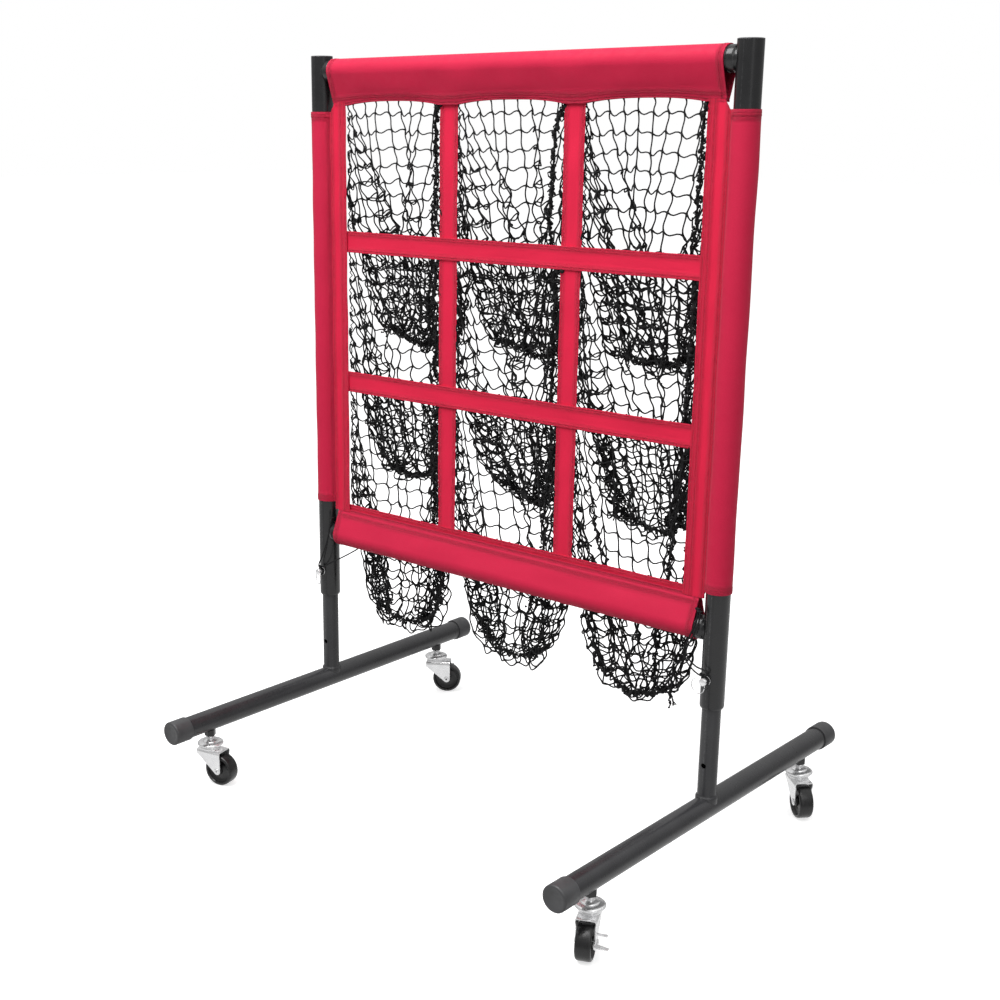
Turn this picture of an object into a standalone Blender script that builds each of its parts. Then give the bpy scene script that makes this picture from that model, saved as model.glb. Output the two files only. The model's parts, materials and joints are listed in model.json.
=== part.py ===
"""Pitching target net: a red nine-opening target with a net pocket behind each opening, sleeved on a
steel tube frame whose two posts telescope on caster legs.

Units are metres and +Z is up. The front of the target faces -Y, and the pockets hang on the +Y side.
"""

import math

import bmesh
import bpy
from mathutils import Matrix, Vector

# ---- driving dimensions -------------------------------------------------------------------------
# The casters and a brake lever stand out further on the right. The assembly is moved by this much, so
# that the middle of its outline is at the origin.
CENTRE_SHIFT = Vector((-0.0129, 0.0, 0.0))

POST_SPACING = 0.850
TUBE_R = 0.019
TUBE_WALL = 0.0015
GAP = 0.0003

LEG_AXIS_Z = 0.119
LEG_HALF_LENGTH = 0.395
LEG_CAP_R = 0.02125
LEG_CAP_BAND = 0.035
LEG_CAP_FACE = 0.0025

LOWER_POST_R = 0.015
LOWER_POST_TOP = 0.400
UPRIGHT_BOTTOM = 0.288
UPRIGHT_TOP = 1.273
UPRIGHT_CAP_FACE = 0.0017
PIN_Z = 0.337
HEIGHT_TRAVEL = 0.1445
PIN_HOLE_R = 0.0045
PIN_R = 0.004

BAR_TOP_Z = 1.247
BAR_BOTTOM_Z = 0.413
BAR_HALF_LENGTH = 0.396

OPENING_WIDTH = 0.217
OPENING_HEIGHT = 0.2135
COLUMN_PITCH = 0.256
ROW_PITCH = 0.2505
OPENING_TOP_Z = 1.189
PANEL_HALF_WIDTH = 0.3845
PANEL_TOP = 1.195
PANEL_BOTTOM = 0.4645
PANEL_THICKNESS = 0.0016
FABRIC = 0.0008
HEM = 0.0024
SLEEVE_HALF_LENGTH = 0.394
SIDE_SLEEVE_BOTTOM = 0.475
SIDE_SLEEVE_TOP = 1.179
SIDE_SLEEVE_TIP = 0.033

CASTER_Y = 0.307
WHEEL_R = 0.029
WHEEL_WIDTH = 0.024
CASTER_TRAIL = 0.0235
AXLE_R = 0.003
AXLE_HOLE_R = 0.0032
FORK_HALF_WIDTH = 0.0150
FORK_TOP_HALF_WIDTH = 0.0165
FORK_PLATE = 0.0016
BRIDGE_TOP = 0.066
LEVER_ROOM = 0.0018

TETHER_R = 0.001

ROUND_STEPS = 32
SMALL_STEPS = 16
WHEEL_STEPS = 28

SIDES = {"left": -1, "right": 1}
ENDS = {"front": -1, "back": 1}
ROWS = ("top", "middle", "bottom")
COLUMNS = ("left", "centre", "right")
# Direction in which each caster trails, in degrees from +X, and whether it has a brake lever.
CASTERS = {
    ("front", "left"): (12, False),
    ("front", "right"): (295, True),
    ("back", "left"): (35, True),
    ("back", "right"): (318, False),
}

# Each tether is a loop of thin elastic: from the end of the bottom bar to the lock pin and back.
TETHER_ROUTES = {
    "left": [
        (-0.3960, -0.0212, 0.4460),
        (-0.3985, -0.0228, 0.4330),
        (-0.4035, -0.0232, 0.4130),
        (-0.4115, -0.0234, 0.3900),
        (-0.4215, -0.0242, 0.3660),
        (-0.4275, -0.0258, 0.3530),
        (-0.4268, -0.0268, 0.3462),
        (-0.4218, -0.0268, 0.3450),
        (-0.4145, -0.0250, 0.3490),
        (-0.4000, -0.0200, 0.3585),
        (-0.3840, -0.0125, 0.3680),
        (-0.3670, -0.0020, 0.3795),
        (-0.3570, 0.0140, 0.3900),
        (-0.3530, 0.0250, 0.4040),
        (-0.3520, 0.0275, 0.4180),
    ],
    "right": [
        (0.4040, -0.0215, 0.4470),
        (0.4030, -0.0232, 0.4277),
        (0.3925, -0.0245, 0.4000),
        (0.3845, -0.0240, 0.3800),
        (0.3845, -0.0240, 0.3695),
        (0.3930, -0.0245, 0.3580),
        (0.4060, -0.0258, 0.3490),
        (0.4190, -0.0268, 0.3452),
        (0.4275, -0.0268, 0.3470),
        (0.4290, -0.0268, 0.3515),
        (0.4240, -0.0266, 0.3550),
        (0.4090, -0.0262, 0.3575),
        (0.3970, -0.0262, 0.3650),
        (0.3900, -0.0262, 0.3760),
        (0.3935, -0.0262, 0.3900),
        (0.4020, -0.0255, 0.4080),
        (0.4085, -0.0248, 0.4280),
        (0.4095, -0.0240, 0.4450),
    ],
}
ROUTE_STEPS = 3


# ---- scene, materials and object helpers --------------------------------------------------------
def clear_scene():
    for obj in list(bpy.data.objects):
        bpy.data.objects.remove(obj, do_unlink=True)


def new_collection(name):
    made = bpy.data.collections.new(name)
    bpy.context.scene.collection.children.link(made)
    return made


def new_material(name, colour, roughness, metallic=0.0):
    made = bpy.data.materials.new(name)
    made.use_nodes = True
    shader = made.node_tree.nodes["Principled BSDF"]
    shader.inputs["Base Color"].default_value = (*colour, 1.0)
    shader.inputs["Roughness"].default_value = roughness
    shader.inputs["Metallic"].default_value = metallic
    return made


clear_scene()
PARTS = new_collection("pitching_target_net")
CUTTERS = new_collection("cutters")
COATED_STEEL = new_material("coated_steel", (0.030, 0.030, 0.033), 0.38, 0.4)
BLACK_PLASTIC = new_material("black_plastic", (0.022, 0.022, 0.024), 0.50)
RED_FABRIC = new_material("red_fabric", (0.640, 0.022, 0.075), 0.62)
BLACK_NET = new_material("black_net", (0.012, 0.012, 0.013), 0.70)
ZINC = new_material("zinc_steel", (0.720, 0.725, 0.735), 0.26, 1.0)
WHEEL_RUBBER = new_material("wheel_rubber", (0.020, 0.020, 0.022), 0.36)

ASSEMBLY = bpy.data.objects.new("assembly", None)
ASSEMBLY.location = CENTRE_SHIFT
PARTS.objects.link(ASSEMBLY)


def new_empty(name, location, turn=0.0):
    made = bpy.data.objects.new(name, None)
    made.location = location
    made.rotation_euler = (0.0, 0.0, turn)
    made.parent = ASSEMBLY
    PARTS.objects.link(made)
    return made


def finish(obj, material=None, parent=ASSEMBLY):
    """Adds an object to the parts, or to the hidden cutters where it has no material."""
    obj.parent = parent
    if material is None:
        obj.hide_render = True
        obj.display_type = "WIRE"
        CUTTERS.objects.link(obj)
        return obj
    obj.data.materials.append(material)
    PARTS.objects.link(obj)
    if obj.type == "MESH" and obj.data.polygons:
        obj.data.shade_smooth()
        obj.data.set_sharp_from_angle(angle=math.radians(35))
    return obj


def cut(obj, cutter, operation="DIFFERENCE"):
    boolean = obj.modifiers.new(cutter.name, "BOOLEAN")
    boolean.operation = operation
    boolean.solver = "EXACT"
    boolean.object = cutter


# Local +Z turned to lie along each of these directions.
ALONG = {
    "+Z": Matrix.Identity(3).to_euler(),
    "+X": Matrix.Rotation(math.radians(90), 3, "Y").to_euler(),
    "-X": Matrix.Rotation(math.radians(-90), 3, "Y").to_euler(),
    "+Y": Matrix.Rotation(math.radians(-90), 3, "X").to_euler(),
    "-Y": Matrix.Rotation(math.radians(90), 3, "X").to_euler(),
}


def turned(name, profile, material=None, location=(0, 0, 0), along="+Z", steps=ROUND_STEPS,
           parent=ASSEMBLY, closed=False):
    """A turned piece. The profile is (radius, height) pairs down its outer side, then up its bore."""
    mesh = bpy.data.meshes.new(name)
    shape = bmesh.new()
    corners = [shape.verts.new((radius, 0.0, height)) for radius, height in profile]
    for first, second in zip(corners, corners[1:]):
        shape.edges.new((first, second))
    if closed:
        shape.edges.new((corners[-1], corners[0]))
    shape.to_mesh(mesh)
    shape.free()
    obj = bpy.data.objects.new(name, mesh)
    screw = obj.modifiers.new("turn", "SCREW")
    screw.axis = "Z"
    screw.angle = math.tau
    screw.steps = steps
    screw.render_steps = steps
    screw.use_merge_vertices = True
    screw.merge_threshold = 0.00001
    screw.use_smooth_shade = True
    obj.location = location
    obj.rotation_euler = ALONG[along]
    return finish(obj, material, parent)


def tube_profile(outer, inner, low, high):
    return [(outer, high), (outer, low), (inner, low), (inner, high)]


def cylinder(name, radius, depth, location, along="+Z", steps=SMALL_STEPS, parent=ASSEMBLY):
    """A round cutter centred on its location."""
    mesh = bpy.data.meshes.new(name)
    shape = bmesh.new()
    bmesh.ops.create_cone(shape, cap_ends=True, segments=steps, radius1=radius, radius2=radius, depth=depth)
    shape.to_mesh(mesh)
    shape.free()
    obj = bpy.data.objects.new(name, mesh)
    obj.location = location
    obj.rotation_euler = ALONG[along]
    return finish(obj, None, parent)


def flat(name, outlines, thickness, material=None, location=(0, 0, 0), rotation=(0, 0, 0),
         parent=ASSEMBLY, as_mesh=False):
    """A flat piece: 2D outlines, the first the outside and the rest holes, given a thickness."""
    curve = bpy.data.curves.new(name, "CURVE")
    curve.dimensions = "2D"
    curve.fill_mode = "BOTH"
    curve.extrude = thickness / 2
    for outline in outlines:
        spline = curve.splines.new("POLY")
        spline.points.add(len(outline) - 1)
        for point, (x, y) in zip(spline.points, outline):
            point.co = (x, y, 0.0, 1.0)
        spline.use_cyclic_u = True
    obj = bpy.data.objects.new(name, curve)
    obj.location = location
    obj.rotation_euler = rotation
    if not as_mesh:
        return finish(obj, material, parent)
    bpy.context.scene.collection.objects.link(obj)
    bpy.context.view_layer.update()
    evaluated = obj.evaluated_get(bpy.context.evaluated_depsgraph_get())
    mesh = bpy.data.meshes.new_from_object(evaluated)
    shape = bmesh.new()
    shape.from_mesh(mesh)
    bmesh.ops.remove_doubles(shape, verts=shape.verts, dist=0.000001)
    bmesh.ops.recalc_face_normals(shape, faces=shape.faces)
    shape.to_mesh(mesh)
    shape.free()
    bpy.data.objects.remove(obj, do_unlink=True)
    bpy.data.curves.remove(curve)
    mesh.name = name
    solid = bpy.data.objects.new(name, mesh)
    solid.location = location
    solid.rotation_euler = rotation
    return finish(solid, material, parent)


# Turns of a flat piece's own XY plane into the upright planes.
FACING_FRONT = (math.radians(90), 0, 0)
FACING_SIDE = (math.radians(90), 0, math.radians(90))


def box_mesh(name, low, high, parent, material=None):
    mesh = bpy.data.meshes.new(name)
    shape = bmesh.new()
    size = Vector(high) - Vector(low)
    middle = (Vector(high) + Vector(low)) / 2
    place = Matrix.Translation(middle) @ Matrix.Diagonal((*size, 1.0))
    bmesh.ops.create_cube(shape, size=1.0, matrix=place)
    shape.to_mesh(mesh)
    shape.free()
    return finish(bpy.data.objects.new(name, mesh), material, parent)


def rectangle(low_x, low_y, high_x, high_y):
    return [(low_x, low_y), (high_x, low_y), (high_x, high_y), (low_x, high_y)]


def arc(centre_x, centre_y, radius, start, end, steps):
    """Points along an arc, with the angles in degrees."""
    angles = [math.radians(start + (end - start) * i / steps) for i in range(steps + 1)]
    return [(centre_x + radius * math.cos(a), centre_y + radius * math.sin(a)) for a in angles]


def post_x(side):
    return SIDES[side] * POST_SPACING / 2


# ---- steel frame --------------------------------------------------------------------------------
def build_upright(side):
    x = post_x(side)
    inner = TUBE_R - TUBE_WALL
    mouth = LOWER_POST_R + 0.0004
    profile = [
        (TUBE_R, UPRIGHT_TOP - UPRIGHT_CAP_FACE - GAP),
        (TUBE_R, UPRIGHT_BOTTOM + 0.0030),
        (TUBE_R - 0.0012, UPRIGHT_BOTTOM),
        (mouth, UPRIGHT_BOTTOM),
        (mouth, UPRIGHT_BOTTOM + 0.0030),
        (inner, UPRIGHT_BOTTOM + 0.0070),
        (inner, UPRIGHT_TOP - UPRIGHT_CAP_FACE - GAP),
    ]
    tube = turned(f"upright_{side}", profile, COATED_STEEL, (x, 0, 0), closed=True)
    cut(tube, cylinder(f"cut_upright_pin_{side}", PIN_HOLE_R, 0.06, (x, 0, PIN_Z), "+Y"))
    cap = [
        (0.0, UPRIGHT_TOP),
        (TUBE_R - 0.0015, UPRIGHT_TOP),
        (TUBE_R, UPRIGHT_TOP - 0.0010),
        (TUBE_R, UPRIGHT_TOP - UPRIGHT_CAP_FACE),
        (inner - GAP, UPRIGHT_TOP - UPRIGHT_CAP_FACE),
        (inner - GAP, UPRIGHT_TOP - 0.018),
        (0.0, UPRIGHT_TOP - 0.018),
    ]
    turned(f"upright_cap_{side}", cap, BLACK_PLASTIC, (x, 0, 0))


def build_crossbar(level, height):
    profile = tube_profile(TUBE_R, TUBE_R - TUBE_WALL, -BAR_HALF_LENGTH, BAR_HALF_LENGTH)
    turned(f"{level}_crossbar", profile, COATED_STEEL, (0, 0, height), "+X", closed=True)
    spigot = TUBE_R - TUBE_WALL - GAP
    saddle = [
        (0.0, 0.0265),
        (0.0150, 0.0265),
        (0.0155, 0.0130),
        (0.0175, 0.0110),
        (TUBE_R, 0.0090),
        (TUBE_R, GAP),
        (spigot, GAP),
        (spigot, -0.0180),
        (spigot - 0.0012, -0.0200),
        (0.0, -0.0200),
    ]
    for side, sign in SIDES.items():
        place = (sign * BAR_HALF_LENGTH, 0, height)
        name = f"crossbar_saddle_{level}_{side}"
        piece = turned(name, saddle, BLACK_PLASTIC, place, "+X" if sign > 0 else "-X", steps=SMALL_STEPS)
        cope = cylinder(f"cut_{name}", TUBE_R + GAP, 0.06, (post_x(side), 0, height), steps=ROUND_STEPS)
        cut(piece, cope)


def build_base(side):
    x = post_x(side)
    weld_top = LEG_AXIS_Z + TUBE_R + 0.0045
    profile = [
        (LOWER_POST_R, LOWER_POST_TOP),
        (LOWER_POST_R, weld_top),
        (LOWER_POST_R + 0.0015, weld_top - 0.0030),
        (LOWER_POST_R + 0.0038, weld_top - 0.0060),
        (LOWER_POST_R + 0.0038, LEG_AXIS_Z),
        (LOWER_POST_R - TUBE_WALL, LEG_AXIS_Z),
        (LOWER_POST_R - TUBE_WALL, LOWER_POST_TOP),
    ]
    post = turned(f"lower_post_{side}", profile, COATED_STEEL, (x, 0, 0), closed=True)
    cut(post, cylinder(f"cut_post_cope_{side}", TUBE_R + GAP, 0.08, (x, 0, LEG_AXIS_Z), "+Y", ROUND_STEPS))
    for place, height in (("upper", PIN_Z), ("lower", PIN_Z - HEIGHT_TRAVEL)):
        cut(post, cylinder(f"cut_post_{place}_{side}", PIN_HOLE_R - 0.0002, 0.06, (x, 0, height), "+Y"))

    half = LEG_HALF_LENGTH - LEG_CAP_FACE - GAP
    tube = tube_profile(TUBE_R, TUBE_R - TUBE_WALL, -half, half)
    leg = turned(f"leg_tube_{side}", tube, COATED_STEEL, (x, 0, LEG_AXIS_Z), "+Y", closed=True)
    cap = [
        (0.0, LEG_HALF_LENGTH),
        (LEG_CAP_R - 0.0022, LEG_HALF_LENGTH),
        (LEG_CAP_R - 0.0006, LEG_HALF_LENGTH - 0.0008),
        (LEG_CAP_R, LEG_HALF_LENGTH - 0.0028),
        (LEG_CAP_R, LEG_HALF_LENGTH - LEG_CAP_BAND + 0.0008),
        (LEG_CAP_R - 0.0006, LEG_HALF_LENGTH - LEG_CAP_BAND),
        (TUBE_R + GAP, LEG_HALF_LENGTH - LEG_CAP_BAND),
        (TUBE_R + GAP, LEG_HALF_LENGTH - LEG_CAP_FACE),
        (0.0, LEG_HALF_LENGTH - LEG_CAP_FACE),
    ]
    for end, sign in ENDS.items():
        name = f"leg_cap_{end}_{side}"
        turned(name, cap, BLACK_PLASTIC, (x, 0, LEG_AXIS_Z), "+Y" if sign > 0 else "-Y")
        stem = (x, sign * CASTER_Y, LEG_AXIS_Z - TUBE_R)
        cut(leg, cylinder(f"cut_leg_stem_{end}_{side}", 0.0055, 0.012, stem))


# ---- lock pins and tethers ----------------------------------------------------------------------
RING_HOLE_AT = 0.0270
RING_R = 0.0125


def build_lock_pin(side):
    """The pin lies along -Y. Its origin is on the upright's axis, and its shank ends short of the post."""
    x = post_x(side)
    profile = [
        (0.0, 0.0315),
        (0.0032, 0.0315),
        (0.0046, 0.0300),
        (0.0046, 0.0240),
        (0.0038, 0.0230),
        (0.0038, 0.0222),
        (0.0072, 0.0220),
        (0.0072, 0.0197),
        (PIN_R, 0.0196),
        (PIN_R, 0.0162),
        (PIN_R - 0.0006, 0.0156),
        (0.0, 0.0156),
    ]
    pin = turned(f"lock_pin_{side}", profile, ZINC, (x, 0, PIN_Z), "-Y", steps=SMALL_STEPS)
    cut(pin, cylinder(f"cut_pin_ring_{side}", 0.0021, 0.02, (x, -RING_HOLE_AT, PIN_Z), "+X"))
    curve = bpy.data.curves.new(f"pin_ring_{side}", "CURVE")
    curve.dimensions = "3D"
    curve.bevel_depth = 0.0008
    curve.bevel_resolution = 1
    points = arc(0.0, -RING_R, RING_R, 0, 340, 17)
    spline = curve.splines.new("POLY")
    spline.points.add(len(points) - 1)
    for point, (across, rise) in zip(spline.points, points):
        point.co = (across, 0.0, rise, 1.0)
    spline.use_cyclic_u = True
    ring = bpy.data.objects.new(f"pin_ring_{side}", curve)
    ring.location = (x, -RING_HOLE_AT, PIN_Z)
    finish(ring, ZINC)


def smooth_route(points):
    """A smooth curve through the route's points (Catmull-Rom), with ROUTE_STEPS points for each span."""
    guides = [Vector(p) for p in points]
    guides = [2 * guides[0] - guides[1], *guides, 2 * guides[-1] - guides[-2]]
    found = []
    for before, start, end, after in zip(guides, guides[1:], guides[2:], guides[3:]):
        for i in range(ROUTE_STEPS):
            t = i / ROUTE_STEPS
            found.append(
                0.5 * (2 * start + (end - before) * t
                       + (2 * before - 5 * start + 4 * end - after) * t ** 2
                       + (3 * start - before - 3 * end + after) * t ** 3)
            )
    found.append(guides[-2])
    return found


def build_tether(side):
    curve = bpy.data.curves.new(f"tether_{side}", "CURVE")
    curve.dimensions = "3D"
    curve.bevel_depth = TETHER_R
    curve.bevel_resolution = 1
    curve.use_fill_caps = True
    points = smooth_route(TETHER_ROUTES[side])
    spline = curve.splines.new("POLY")
    spline.points.add(len(points) - 1)
    for point, place in zip(spline.points, points):
        point.co = (*place, 1.0)
    finish(bpy.data.objects.new(f"tether_{side}", curve), BLACK_NET)


# ---- fabric target ------------------------------------------------------------------------------
def teardrop(radius, reach, hem_half, hem_length, steps=18):
    """A sleeve's outline round a tube at the origin, drawn in to a flat hem that points down."""
    lean = math.degrees(math.acos(radius / reach))
    start = -90 + lean
    body = arc(0.0, 0.0, radius, start, 270 - lean, steps)
    hem = [(-hem_half, -reach + hem_half), (-hem_half, -reach - hem_length)]
    return body + hem + [(x * -1, y) for x, y in reversed(hem)]


def build_sleeve(name, length, reach, hem_length, location, rotation):
    outer = teardrop(TUBE_R + GAP + FABRIC, reach, HEM / 2, hem_length)
    lean = math.degrees(math.acos((TUBE_R + GAP) / (reach - 0.002)))
    inner = arc(0.0, 0.0, TUBE_R + GAP, -90 + lean, 270 - lean, 18) + [(0.0, -reach + 0.002)]
    flat(name, [outer, inner], length, RED_FABRIC, location, rotation)


def build_target():
    openings = []
    for column in (-1, 0, 1):
        for row in range(len(ROWS)):
            high = OPENING_TOP_Z - row * ROW_PITCH
            middle = column * COLUMN_PITCH
            half = OPENING_WIDTH / 2
            openings.append(rectangle(middle - half, high - OPENING_HEIGHT, middle + half, high))
    outside = rectangle(-PANEL_HALF_WIDTH, PANEL_BOTTOM, PANEL_HALF_WIDTH, PANEL_TOP)
    flat("target_panel", [outside, *openings], PANEL_THICKNESS, RED_FABRIC, rotation=FACING_FRONT)

    # The top sleeve's hem points down to the panel, and the bottom sleeve's hem points up to it.
    top_reach = BAR_TOP_Z - PANEL_TOP - GAP - 0.009
    bottom_reach = PANEL_BOTTOM - BAR_BOTTOM_Z - GAP - 0.009
    facing_side = Matrix.Rotation(math.radians(90), 3, "Z") @ Matrix.Rotation(math.radians(90), 3, "X")
    upside_down = facing_side @ Matrix.Rotation(math.radians(180), 3, "Z")
    length = 2 * SLEEVE_HALF_LENGTH
    build_sleeve("top_sleeve", length, top_reach, 0.009, (0, 0, BAR_TOP_Z), facing_side.to_euler())
    build_sleeve("bottom_sleeve", length, bottom_reach, 0.009, (0, 0, BAR_BOTTOM_Z), upside_down.to_euler())

    # The side sleeves' hems point inwards to the panel's edges.
    height = SIDE_SLEEVE_TOP - SIDE_SLEEVE_BOTTOM
    middle = (SIDE_SLEEVE_TOP + SIDE_SLEEVE_BOTTOM) / 2
    hem = POST_SPACING / 2 - SIDE_SLEEVE_TIP - PANEL_HALF_WIDTH - GAP
    for side, sign in SIDES.items():
        turn = (0, 0, math.radians(-90 * sign))
        build_sleeve(f"{side}_sleeve", height, SIDE_SLEEVE_TIP, hem, (post_x(side), 0, middle), turn)


# Each pocket's cross-sections, from its top edge down: depth below the opening's top, how far behind
# the panel its front and its back are, and half its width. Down to the sill the front is open.
POCKET_OPEN = (
    (0.0000, 0.0014, 0.0050, 0.1115),
    (0.0500, 0.0014, 0.0300, 0.1115),
    (0.1300, 0.0014, 0.0520, 0.1115),
    (0.2150, 0.0014, 0.0840, 0.1115),
)
POCKET_CLOSED = (
    (0.2500, 0.0400, 0.0990, 0.1110),
    (0.3400, 0.0600, 0.1250, 0.1050),
)
# The bottom of each row's pockets, with the same values.
POCKET_BOTTOMS = (
    (0.4200, 0.0780, 0.1150, 0.0900),
    (0.4200, 0.0780, 0.1150, 0.0900),
    (0.4450, 0.0700, 0.1150, 0.0860),
)
POCKET_WALL = 0.0015


def build_pocket(row, column):
    name = f"net_pocket_{ROWS[row]}_{COLUMNS[column]}"
    mesh = bpy.data.meshes.new(name)
    shape = bmesh.new()
    sections = []
    for depth, front, back, half in (*POCKET_OPEN, *POCKET_CLOSED, POCKET_BOTTOMS[row]):
        corners = [(-half, front), (-half, back), (half, back), (half, front)]
        sections.append([shape.verts.new((x, y, -depth)) for x, y in corners])
    closed_from = len(POCKET_OPEN) - 1
    for level, (upper, lower) in enumerate(zip(sections, sections[1:])):
        walls = [(0, 1), (1, 2), (2, 3)]
        if level >= closed_from:
            walls.append((3, 0))
        for first, second in walls:
            shape.faces.new((upper[first], lower[first], lower[second], upper[second]))
    shape.faces.new(sections[-1])
    bmesh.ops.recalc_face_normals(shape, faces=shape.faces)
    shape.to_mesh(mesh)
    shape.free()
    pocket = bpy.data.objects.new(name, mesh)
    pocket.location = ((column - 1) * COLUMN_PITCH, 0, OPENING_TOP_Z - row * ROW_PITCH)
    shell = pocket.modifiers.new("wall", "SOLIDIFY")
    shell.thickness = POCKET_WALL
    shell.offset = -1.0
    shell.use_even_offset = True
    finish(pocket, BLACK_NET)


# ---- casters ------------------------------------------------------------------------------------
def build_caster(end, side, trail_degrees, has_brake):
    tag = f"{end}_{side}"
    centre = (post_x(side), ENDS[end] * CASTER_Y, 0.0)
    fixed = new_empty(f"stem_{tag}", centre)
    swivel = new_empty(f"swivel_{tag}", centre, math.radians(trail_degrees))

    nut = [(0.0104, 0.1080), (0.0104, 0.0838), (0.0062, 0.0838), (0.0062, 0.1080)]
    socket = turned(f"caster_nut_{tag}", nut, BLACK_PLASTIC, steps=6, parent=fixed, closed=True)
    leg_room = cylinder(f"cut_nut_{tag}", TUBE_R + GAP, 0.06, (0, 0, LEG_AXIS_Z), "+Y", ROUND_STEPS, fixed)
    cut(socket, leg_room)

    race = [
        (0.0, 0.1120),
        (0.0050, 0.1120),
        (0.0050, 0.0835),
        (0.0085, 0.0830),
        (0.0125, 0.0800),
        (0.0175, 0.0792),
        (0.0208, 0.0775),
        (0.0218, 0.0750),
        (0.0212, 0.0722),
        (0.0180, 0.0713),
        (0.0042, 0.0711),
        (0.0042, 0.0638),
        (0.0062, 0.0636),
        (0.0060, 0.0610),
        (0.0045, 0.0600),
        (0.0, 0.0600),
    ]
    turned(f"caster_race_{tag}", race, ZINC, steps=SMALL_STEPS, parent=fixed)

    build_fork(tag, swivel)
    wheel = [
        (0.0080, WHEEL_WIDTH / 2),
        (0.0080, WHEEL_WIDTH / 2 - 0.0040),
        (0.0210, WHEEL_WIDTH / 2 - 0.0040),
        (0.0225, WHEEL_WIDTH / 2),
        (0.0268, WHEEL_WIDTH / 2),
        (WHEEL_R, WHEEL_WIDTH / 2 - 0.0035),
    ]
    wheel += [(radius, -height) for radius, height in reversed(wheel)]
    wheel += [(AXLE_HOLE_R, -WHEEL_WIDTH / 2), (AXLE_HOLE_R, WHEEL_WIDTH / 2)]
    # The rim's flats stand as far out as the wheel's radius, and one of them meets the floor.
    out = 1 / math.cos(math.pi / WHEEL_STEPS)
    wheel = [(radius * out if radius > 0.02 else radius, height) for radius, height in wheel]
    tyre = turned(f"caster_wheel_{tag}", wheel, WHEEL_RUBBER, (CASTER_TRAIL, 0, WHEEL_R), "+Y",
                  steps=WHEEL_STEPS, parent=swivel, closed=True)
    half_facet = math.pi / WHEEL_STEPS
    tyre.rotation_euler = (Matrix.Rotation(half_facet, 3, "Y") @ tyre.rotation_euler.to_matrix()).to_euler()

    far = FORK_HALF_WIDTH + GAP + (LEVER_ROOM if has_brake else 0.0)
    near = FORK_HALF_WIDTH + GAP
    axle = [
        (0.0, far + 0.0013),
        (0.0040, far + 0.0013),
        (0.0052, far + 0.0004),
        (0.0052, far),
        (AXLE_R, far),
        (AXLE_R, -near),
        (0.0052, -near),
        (0.0052, -near - 0.0004),
        (0.0040, -near - 0.0013),
        (0.0, -near - 0.0013),
    ]
    turned(f"caster_axle_{tag}", axle, ZINC, (CASTER_TRAIL, 0, WHEEL_R), "+Y", steps=12, parent=swivel)
    if has_brake:
        build_brake_lever(tag, swivel)


def build_fork(tag, swivel):
    """A bent plate: a U across the wheel, trimmed to the fork's side outline, with the lower race on it."""
    low = 0.012
    channel = [
        (-FORK_HALF_WIDTH, low),
        (-FORK_HALF_WIDTH, 0.0535),
        (-FORK_TOP_HALF_WIDTH, 0.0600),
        (-FORK_TOP_HALF_WIDTH + 0.0006, 0.0635),
        (-FORK_TOP_HALF_WIDTH + 0.0028, BRIDGE_TOP),
    ]
    inner = [
        (-FORK_HALF_WIDTH + FORK_PLATE, low),
        (-FORK_HALF_WIDTH + FORK_PLATE, 0.0535),
        (-FORK_TOP_HALF_WIDTH + FORK_PLATE, 0.0600),
        (-FORK_TOP_HALF_WIDTH + FORK_PLATE + 0.0005, 0.0628),
        (-FORK_TOP_HALF_WIDTH + FORK_PLATE + 0.0018, BRIDGE_TOP - FORK_PLATE),
    ]
    outline = channel + [(-x, z) for x, z in reversed(channel)]
    outline += [(-x, z) for x, z in inner] + list(reversed(inner))
    fork = flat(f"caster_fork_{tag}", [outline], 0.070, ZINC, rotation=FACING_SIDE, parent=swivel,
                as_mesh=True)
    tip_r = 0.0072
    side_view = [(-0.0195, 0.0665), (-0.0200, 0.0560)]
    side_view += arc(CASTER_TRAIL, WHEEL_R, tip_r, 214, 360, 7)
    side_view += [(CASTER_TRAIL + tip_r, 0.0665)]
    trim = flat(f"cut_fork_{tag}", [side_view], 0.06, rotation=FACING_FRONT, parent=swivel, as_mesh=True)
    cut(fork, trim, "INTERSECT")
    race = [
        (0.0170, 0.0652),
        (0.0178, 0.0662),
        (0.0178, 0.0690),
        (0.0168, 0.0706),
        (0.0090, 0.0706),
        (0.0090, 0.0652),
    ]
    lower_race = turned(f"cut_race_{tag}", list(reversed(race)), steps=20, parent=swivel, closed=True)
    cut(fork, lower_race, "UNION")
    cut(fork, cylinder(f"cut_kingpin_{tag}", 0.0047, 0.02, (0, 0, BRIDGE_TOP), steps=12, parent=swivel))
    axle = (CASTER_TRAIL, 0, WHEEL_R)
    cut(fork, cylinder(f"cut_axle_{tag}", AXLE_HOLE_R, 0.06, axle, "+Y", 12, swivel))


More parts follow.
